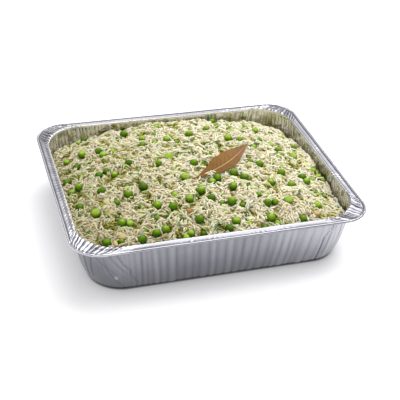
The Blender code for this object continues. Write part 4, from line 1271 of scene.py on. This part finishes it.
def flakes(name, spots, mat, thick, rough_edge, seed, limit=1.6, m=9):
    """Small crumpled flakes: x, y, size each; they lie on the grains as they then are."""
    g = np.random.default_rng(seed)
    VV, FF, TT, base = [], [], [], 0
    for x, y, size, *tone in spots:
        i, j = cell(x, y)
        h = HMAP[i, j]
        if h > 150:
            continue
        z = min(h, TARGET[i, j] + limit) + thick * 0.35
        a = g.uniform(0, 2 * np.pi)
        long, short = size * 0.5, size * 0.5 * g.uniform(0.45, 0.85)
        ang = np.linspace(0, 2 * np.pi, m, endpoint=False)
        rad = 1.0 + g.uniform(-rough_edge, rough_edge, m)
        ex, ey = np.cos(ang) * rad * long, np.sin(ang) * rad * short
        tiltx, tilty = g.normal(0, 0.32), g.normal(0, 0.32)
        curl = g.normal(0, 0.30) / max(size, 1.0)
        ca, sa = math.cos(a), math.sin(a)

        def lift(px, py):
            return tiltx * px + tilty * py + curl * px * px - 0.5 * curl * py * py

        def world(px, py, dz):
            return np.stack([x + px * ca - py * sa, y + px * sa + py * ca, z + lift(px, py) + dz], 1)

        V = np.concatenate([world(ex, ey, 0.0), world(ex * 0.55, ey * 0.55, thick * 0.5),
                            world(ex * 0.55, ey * 0.55, -thick * 0.5),
                            world(np.zeros(1), np.zeros(1), thick * 0.55),
                            world(np.zeros(1), np.zeros(1), -thick * 0.55)])
        F = []
        for k in range(m):
            q = (k + 1) % m
            F += [(k, q, m + q), (k, m + q, m + k), (m + k, m + q, 3 * m)]
            F += [(q, k, 2 * m + k), (q, 2 * m + k, 2 * m + q), (2 * m + q, 2 * m + k, 3 * m + 1)]
        VV.append(V)
        FF.append(np.array(F) + base)
        TT.append(np.full(len(V), tone[0] if tone else 0.5))
        base += len(V)
        if thick > 0.8:
            d2 = (XX - x) ** 2 + (YY - y) ** 2
            mm = (d2 < (size * 0.35) ** 2) & INSIDE
            HMAP[mm] = np.maximum(HMAP[mm], z + thick * 0.5)
    ob = make_object(name, np.concatenate(VV), np.concatenate(FF), mat)
    point_value(ob, "tone", np.concatenate(TT))
    return ob


def low_spots(count, seed, lo, hi, group=0.3, bias=4):
    """Places for herbs, favouring the hollows between clumps."""
    g = np.random.default_rng(seed)
    ii, jj = np.where(INSIDE & ~UNDER_LEAF)
    out = []
    while len(out) < count:
        p = g.integers(0, len(ii), bias)
        k = p[int(np.argmax(GAPS[ii[p], jj[p]] + g.uniform(0, 0.25, bias)))]
        x, y = GX[ii[k]], GY[jj[k]]
        out.append((x, y, float(np.clip(g.lognormal(math.log((lo + hi) / 2), 0.35), lo, hi))))
        if g.random() < group:
            for _ in range(int(g.integers(1, 4))):
                out.append((x + g.normal(0, 2.4), y + g.normal(0, 2.4), float(g.uniform(lo, (lo + hi) / 2))))
    return out[:count]


MAT_FOIL = foil_material()
MAT_RICE = rice_material()
MAT_CORE = core_material()
MAT_PEA = pea_material()
MAT_LEAF = leaf_material()
MAT_HERB = flake_material("chopped_herb", [(0.0, (0.034, 0.072, 0.008)), (0.3, (0.070, 0.140, 0.014)),
                                           (0.65, (0.140, 0.245, 0.040)), (1.0, (0.26, 0.38, 0.11))])
MAT_GOLD = flake_material("fried_onion", [(0.0, (0.62, 0.50, 0.22)), (0.25, (0.62, 0.44, 0.17)),
                                          (0.55, (0.62, 0.36, 0.15)), (1.0, (0.36, 0.12, 0.02))], by_tone=True)

tray = build_tray()
core = build_core()
pea_list = place_peas(PEAS)

# part-buried peas between the ones on top
g = np.random.default_rng(515)
extra = []
ii, jj = np.where(INSIDE & ~UNDER_LEAF & wall_outline_ok(XX, YY, TARGET, 8.0))
while len(extra) < 60:
    k = g.integers(0, len(ii))
    x, y = float(GX[ii[k]]), float(GY[jj[k]])
    if all((x - p[0]) ** 2 + (y - p[1]) ** 2 > 11.0 ** 2 for p in pea_list + extra):
        extra.append((x, y, float(g.uniform(3.3, 4.3)), float(g.uniform(0.62, 0.95)), int(g.integers(0, 3))))
extra_list = place_peas(extra)
all_peas = pea_list + extra_list


def keep_off(sunk):
    return 1.0 if sunk < 0.22 else (0.86 if sunk < 0.36 else (0.62 if sunk < 0.56 else 0.25))


def sprigs(spots, seed, share):
    """Each sizeable herb spot is a little heap of ragged leaflets."""
    g = np.random.default_rng(seed)
    out = []
    for x, y, size in spots:
        if size < 4.0:
            out.append((x, y, size))
            continue
        for _ in range(int(size * share)):
            out.append((x + g.normal(0, size * 0.26), y + g.normal(0, size * 0.26), float(g.uniform(0.4, 0.75) * size)))
    return out


under = drop_grains(2300, 101, 8.2, 1.15, -1.1, 0.05, all_peas, keep_off, sink=1.35)
herbs_low = flakes("herb_flakes_low", low_spots(150, 21, 2.2, 5.5), MAT_HERB, 0.35, 0.38, 12)
top1 = drop_grains(5000, 102, 8.8, 1.14, -0.1, 0.12, all_peas, keep_off, sink=1.35)
top2 = drop_grains(3800, 103, 8.7, 1.07, 0.7, 0.44, all_peas, keep_off, sink=1.1)
gold = flakes("fried_onion_bits", [(b[0], b[1], b[2] * 1.12, b[3]) for b in GOLD], MAT_GOLD, 1.6, 0.16, 13,
              limit=2.8, m=10)
herbs_top = flakes("herb_flakes_top", sprigs(HERBS, 6, 1.5) + low_spots(420, 22, 1.5, 3.6, 0.35, 2),
                   MAT_HERB, 0.3, 0.42, 14, limit=3.0)
top3 = drop_grains(330, 104, 8.0, 0.95, 1.2, 0.5, all_peas, keep_off, sink=1.0)
top2 = np.concatenate([top2, top3])
print("grains", len(under), len(top1), len(top2))

SMALL = grain_template(4, ((-0.74, 0.72), (0.0, 1.0), (0.74, 0.74)))
FULL = grain_template(4, ((-0.88, 0.48), (-0.45, 0.95), (0.25, 1.0), (0.84, 0.56)))
FINE = grain_template(5, ((-0.90, 0.36), (-0.55, 0.82), (0.0, 1.0), (0.55, 0.85), (0.90, 0.40)))
peas_ob = build_peas("green_peas", pea_list, 77, 3)
peas_low = build_peas("green_peas_low", extra_list, 78, 2)
rice_under = grains_mesh("rice_grains_under", under, SMALL, 7, MAT_RICE)
half = (len(top1) + 1) // 2
rice_a = grains_mesh("rice_grains_a", top1[:half], FULL, 8, MAT_RICE)
rice_b = grains_mesh("rice_grains_b", top1[half:], FULL, 9, MAT_RICE)
rice_c = grains_mesh("rice_grains_c", top2, FINE, 10, MAT_RICE)


# ------------------------------------------------------------------ bay leaf
def build_leaf():
    nu, nv = 84, 26
    x, y, z, f, v = leaf_grid(np.linspace(0, 1, nu + 1), np.linspace(-1, 1, nv + 1))
    top = np.stack([x, y, z + 0.17], 2).reshape(-1, 3)
    low = np.stack([x, y, z - 0.17], 2).reshape(-1, 3)
    idx = np.arange((nu + 1) * (nv + 1)).reshape(nu + 1, nv + 1)
    quads = np.stack([idx[:-1, :-1].ravel(), idx[1:, :-1].ravel(), idx[1:, 1:].ravel(), idx[:-1, 1:].ravel()], 1)
    m = len(top)
    F = quads.tolist() + (quads[:, ::-1] + m).tolist()
    loop = ([(a, 0) for a in range(nu)] + [(nu, b) for b in range(nv)]
            + [(a, nv) for a in range(nu, 0, -1)] + [(0, b) for b in range(nv, 0, -1)])
    ring = [int(idx[a, b]) for a, b in loop]
    for k, p in enumerate(ring):
        q = ring[(k + 1) % len(ring)]
        F.append([p, p + m, q + m, q])
    ob = make_object("bay_leaf_blade", np.concatenate([top, low]), F, MAT_LEAF)
    bm = bmesh.new()
    bm.from_mesh(ob.data)
    bmesh.ops.recalc_face_normals(bm, faces=bm.faces)
    bm.to_mesh(ob.data)
    bm.free()
    uv = ob.data.uv_layers.new(name="UVMap")
    loops = np.zeros(len(ob.data.loops), dtype=np.int32)
    ob.data.loops.foreach_get("vertex_index", loops)
    UV = np.stack([f, 0.5 + 0.5 * v], 2).reshape(-1, 2)
    UV = np.concatenate([UV, UV])
    uv.data.foreach_set("uv", UV[loops].ravel().astype(np.float32))
    return ob


leaf = build_leaf()

# a few grains have fallen over the leaf's near edge
over_cap = np.where(UNDER_LEAF, LEAF_Z + 4.0, CAP + 1.5)
HMAP[UNDER_LEAF] = LEAF_Z[UNDER_LEAF] + 0.4
_lt = np.full(XX.shape, False)
for cx, cy, rr in ((7.0, -27.0, 4.0), (12.0, -25.5, 3.5), (-4.0, -31.0, 3.0)):
    _lt |= (XX - cx) ** 2 + (YY - cy) ** 2 < rr * rr
_save = TARGET.copy()
TARGET = np.where(_lt, HMAP + 1.2, TARGET)
over = drop_grains(7, 140, 8.0, 0.95, 0.0, 0.1, all_peas, keep_off, allowed=_lt, cap=over_cap)
TARGET = _save
rice_d = grains_mesh("rice_grains_over_leaf", over, FINE, 11, MAT_RICE)

_all = 0
for piece in (tray, core, leaf, peas_ob, peas_low, rice_under, rice_a, rice_b, rice_c, rice_d, herbs_low,
              herbs_top, gold):
    _n = sum(len(f.vertices) - 2 for f in piece.data.polygons)
    _all += _n
    print("triangles", piece.name, _n)
print("triangles in all", _all)

# ------------------------------------------------------------------ ride and replace
loose = [peas_ob, peas_low, rice_under, rice_a, rice_b, rice_c, rice_d, herbs_low, herbs_top, gold]
for piece in [tray, core, leaf] + loose:
    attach(piece, "root")
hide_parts("foil_tray")
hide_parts("rice_heap")
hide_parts("bay_leaf")


# ------------------------------------------------------------------ floor, light, camera
def build_stage():
    mat, nt, bsdf = new_material("floor")
    tc = node(nt, "ShaderNodeTexCoord")
    n = node(nt, "ShaderNodeTexNoise", Scale=3.0, Detail=1.0)
    nt.links.new(tc.outputs["Object"], n.inputs["Vector"])
    col = ramp(nt, [(0.4, (0.895, 0.895, 0.905)), (0.6, (0.905, 0.905, 0.915))])
    nt.links.new(n.outputs["Fac"], col.inputs["Fac"])
    # painted contact shadow: the floor's colour and glow are darkened close to the tray's foot, by distance from the
    # foot's outline
    sep = node(nt, "ShaderNodeSeparateXYZ")
    nt.links.new(tc.outputs["Object"], sep.inputs[0])

    def maths(op, a, b=None):
        m = node(nt, "ShaderNodeMath", operation=op)
        for i, v in enumerate((a, b)):
            if v is None:
                continue
            if isinstance(v, float):
                m.inputs[i].default_value = v
            else:
                nt.links.new(v, m.inputs[i])
        return m.outputs[0]

    far = []
    for axis, half, mid in (("X", BASE_A, BASE_SHIFT), ("Y", BASE_B, 0.0)):
        off = maths("ABSOLUTE", maths("SUBTRACT", sep.outputs[axis], mid * 0.001))
        far.append(maths("MAXIMUM", maths("SUBTRACT", off, (half - BASE_R) * 0.001), 0.0))
    reach = maths("SQRT", maths("ADD", maths("MULTIPLY", far[0], far[0]), maths("MULTIPLY", far[1], far[1])))
    gap = maths("SUBTRACT", reach, BASE_R * 0.001)
    share = maths("DIVIDE", maths("ADD", gap, 0.001), 0.030)
    painted_contact_shadow = ramp(nt, [(0.0, (0.16, 0.16, 0.16)), (0.03, (0.30, 0.30, 0.30)), (0.08, (0.76, 0.76, 0.76)),
                     (0.40, (0.88, 0.88, 0.88)), (1.0, (1.0, 1.0, 1.0))])
    nt.links.new(share, painted_contact_shadow.inputs["Fac"])
    mix = node(nt, "ShaderNodeMix", data_type="RGBA", blend_type="MULTIPLY")
    mix.inputs["Factor"].default_value = 1.0
    nt.links.new(col.outputs["Color"], mix.inputs["A"])
    nt.links.new(painted_contact_shadow.outputs["Color"], mix.inputs["B"])
    nt.links.new(mix.outputs["Result"], bsdf.inputs["Base Color"])
    bsdf.inputs["Roughness"].default_value = 0.9
    bsdf.inputs["Specular IOR Level"].default_value = 0.1
    # a sweep lit a little from below, as for cut-out pictures
    nt.links.new(mix.outputs["Result"], bsdf.inputs["Emission Color"])
    bsdf.inputs["Emission Strength"].default_value = 0.36
    bpy.ops.mesh.primitive_plane_add(size=8.0, location=(0, 0, -0.0002))
    floor = bpy.context.object
    floor.name = "floor"
    floor.data.materials.append(mat)

    # a white studio: bright horizon, dim upper walls, a broad panel behind to the right
    world = bpy.context.scene.world or bpy.data.worlds.new("studio")
    bpy.context.scene.world = world
    world.use_nodes = True
    nt = world.node_tree
    L = nt.links.new
    bg = nt.nodes.get("Background") or nt.nodes.new("ShaderNodeBackground")
    tc = nt.nodes.new("ShaderNodeTexCoord")
    sep = nt.nodes.new("ShaderNodeSeparateXYZ")
    L(tc.outputs["Generated"], sep.inputs[0])

    def spread(socket, lo, hi, a, b):
        m = nt.nodes.new("ShaderNodeMapRange")
        m.interpolation_type = "SMOOTHSTEP"
        for key, val in (("From Min", lo), ("From Max", hi), ("To Min", a), ("To Max", b)):
            m.inputs[key].default_value = val
        L(socket, m.inputs["Value"])
        return m.outputs["Result"]

    def maths(kind, a, b):
        m = nt.nodes.new("ShaderNodeMath")
        m.operation = kind
        L(a, m.inputs[0])
        L(b, m.inputs[1])
        return m.outputs[0]

    base = spread(sep.outputs["Z"], 0.06, 0.30, 1.25, 0.50)
    rise = spread(sep.outputs["Z"], 0.16, 0.42, 0.0, 1.0)
    fall = spread(sep.outputs["Z"], 0.66, 0.84, 1.0, 0.0)
    back = spread(sep.outputs["Y"], 0.15, 0.55, 0.0, 1.0)
    side = spread(sep.outputs["X"], -0.05, 0.40, 0.12, 1.0)
    panel = maths("MULTIPLY", maths("MULTIPLY", rise, fall), maths("MULTIPLY", back, side))
    wing = spread(sep.outputs["X"], -0.88, -0.62, 1.1, 0.0)
    wing = maths("MULTIPLY", maths("MULTIPLY", rise, fall), wing)
    total = maths("ADD", maths("ADD", base, panel), wing)
    L(total, bg.inputs["Strength"])
    bg.inputs["Color"].default_value = (1.0, 0.995, 1.0, 1.0)

    def area(name, loc, size, power, colour=(1, 1, 1), aim=(0, 0, 0.05)):
        li = bpy.data.lights.new(name, "AREA")
        li.shape = "RECTANGLE"
        li.size, li.size_y = size
        li.energy = power
        li.color = colour
        ob = bpy.data.objects.new(name, li)
        bpy.context.scene.collection.objects.link(ob)
        ob.location = loc
        d = Vector(aim) - Vector(loc)
        ob.rotation_euler = d.to_track_quat("-Z", "Y").to_euler()
        return ob

    area("key", (0.38, 0.25, 1.18), (1.3, 1.3), 17.0, (1.0, 0.99, 0.965))


build_stage()


def build_camera():
    az, el, roll = math.radians(-19.11), math.radians(34.23), math.radians(3.85)
    dist, focal_px = 0.97827, 917.65
    target = Vector((-0.01226, -0.06057, 0.065))
    back = Vector((math.sin(az) * math.cos(el), -math.cos(az) * math.cos(el), math.sin(el)))
    at = target + back * dist
    right = (-back).cross(Vector((0, 0, 1))).normalized()
    up = right.cross(-back)
    r2 = math.cos(roll) * right + math.sin(roll) * up
    u2 = -math.sin(roll) * right + math.cos(roll) * up
    cam = bpy.data.cameras.new("camera")
    cam.sensor_width = 36.0
    cam.lens = focal_px * 36.0 / 400.0
    cam.clip_start = 0.01
    ob = bpy.data.objects.new("camera", cam)
    bpy.context.scene.collection.objects.link(ob)
    ob.matrix_world = Matrix(((r2.x, u2.x, back.x, at.x), (r2.y, u2.y, back.y, at.y),
                              (r2.z, u2.z, back.z, at.z), (0, 0, 0, 1)))
    bpy.context.scene.camera = ob


build_camera()
bpy.context.scene.view_settings.view_transform = "Standard"
bpy.context.scene.view_settings.look = "None"
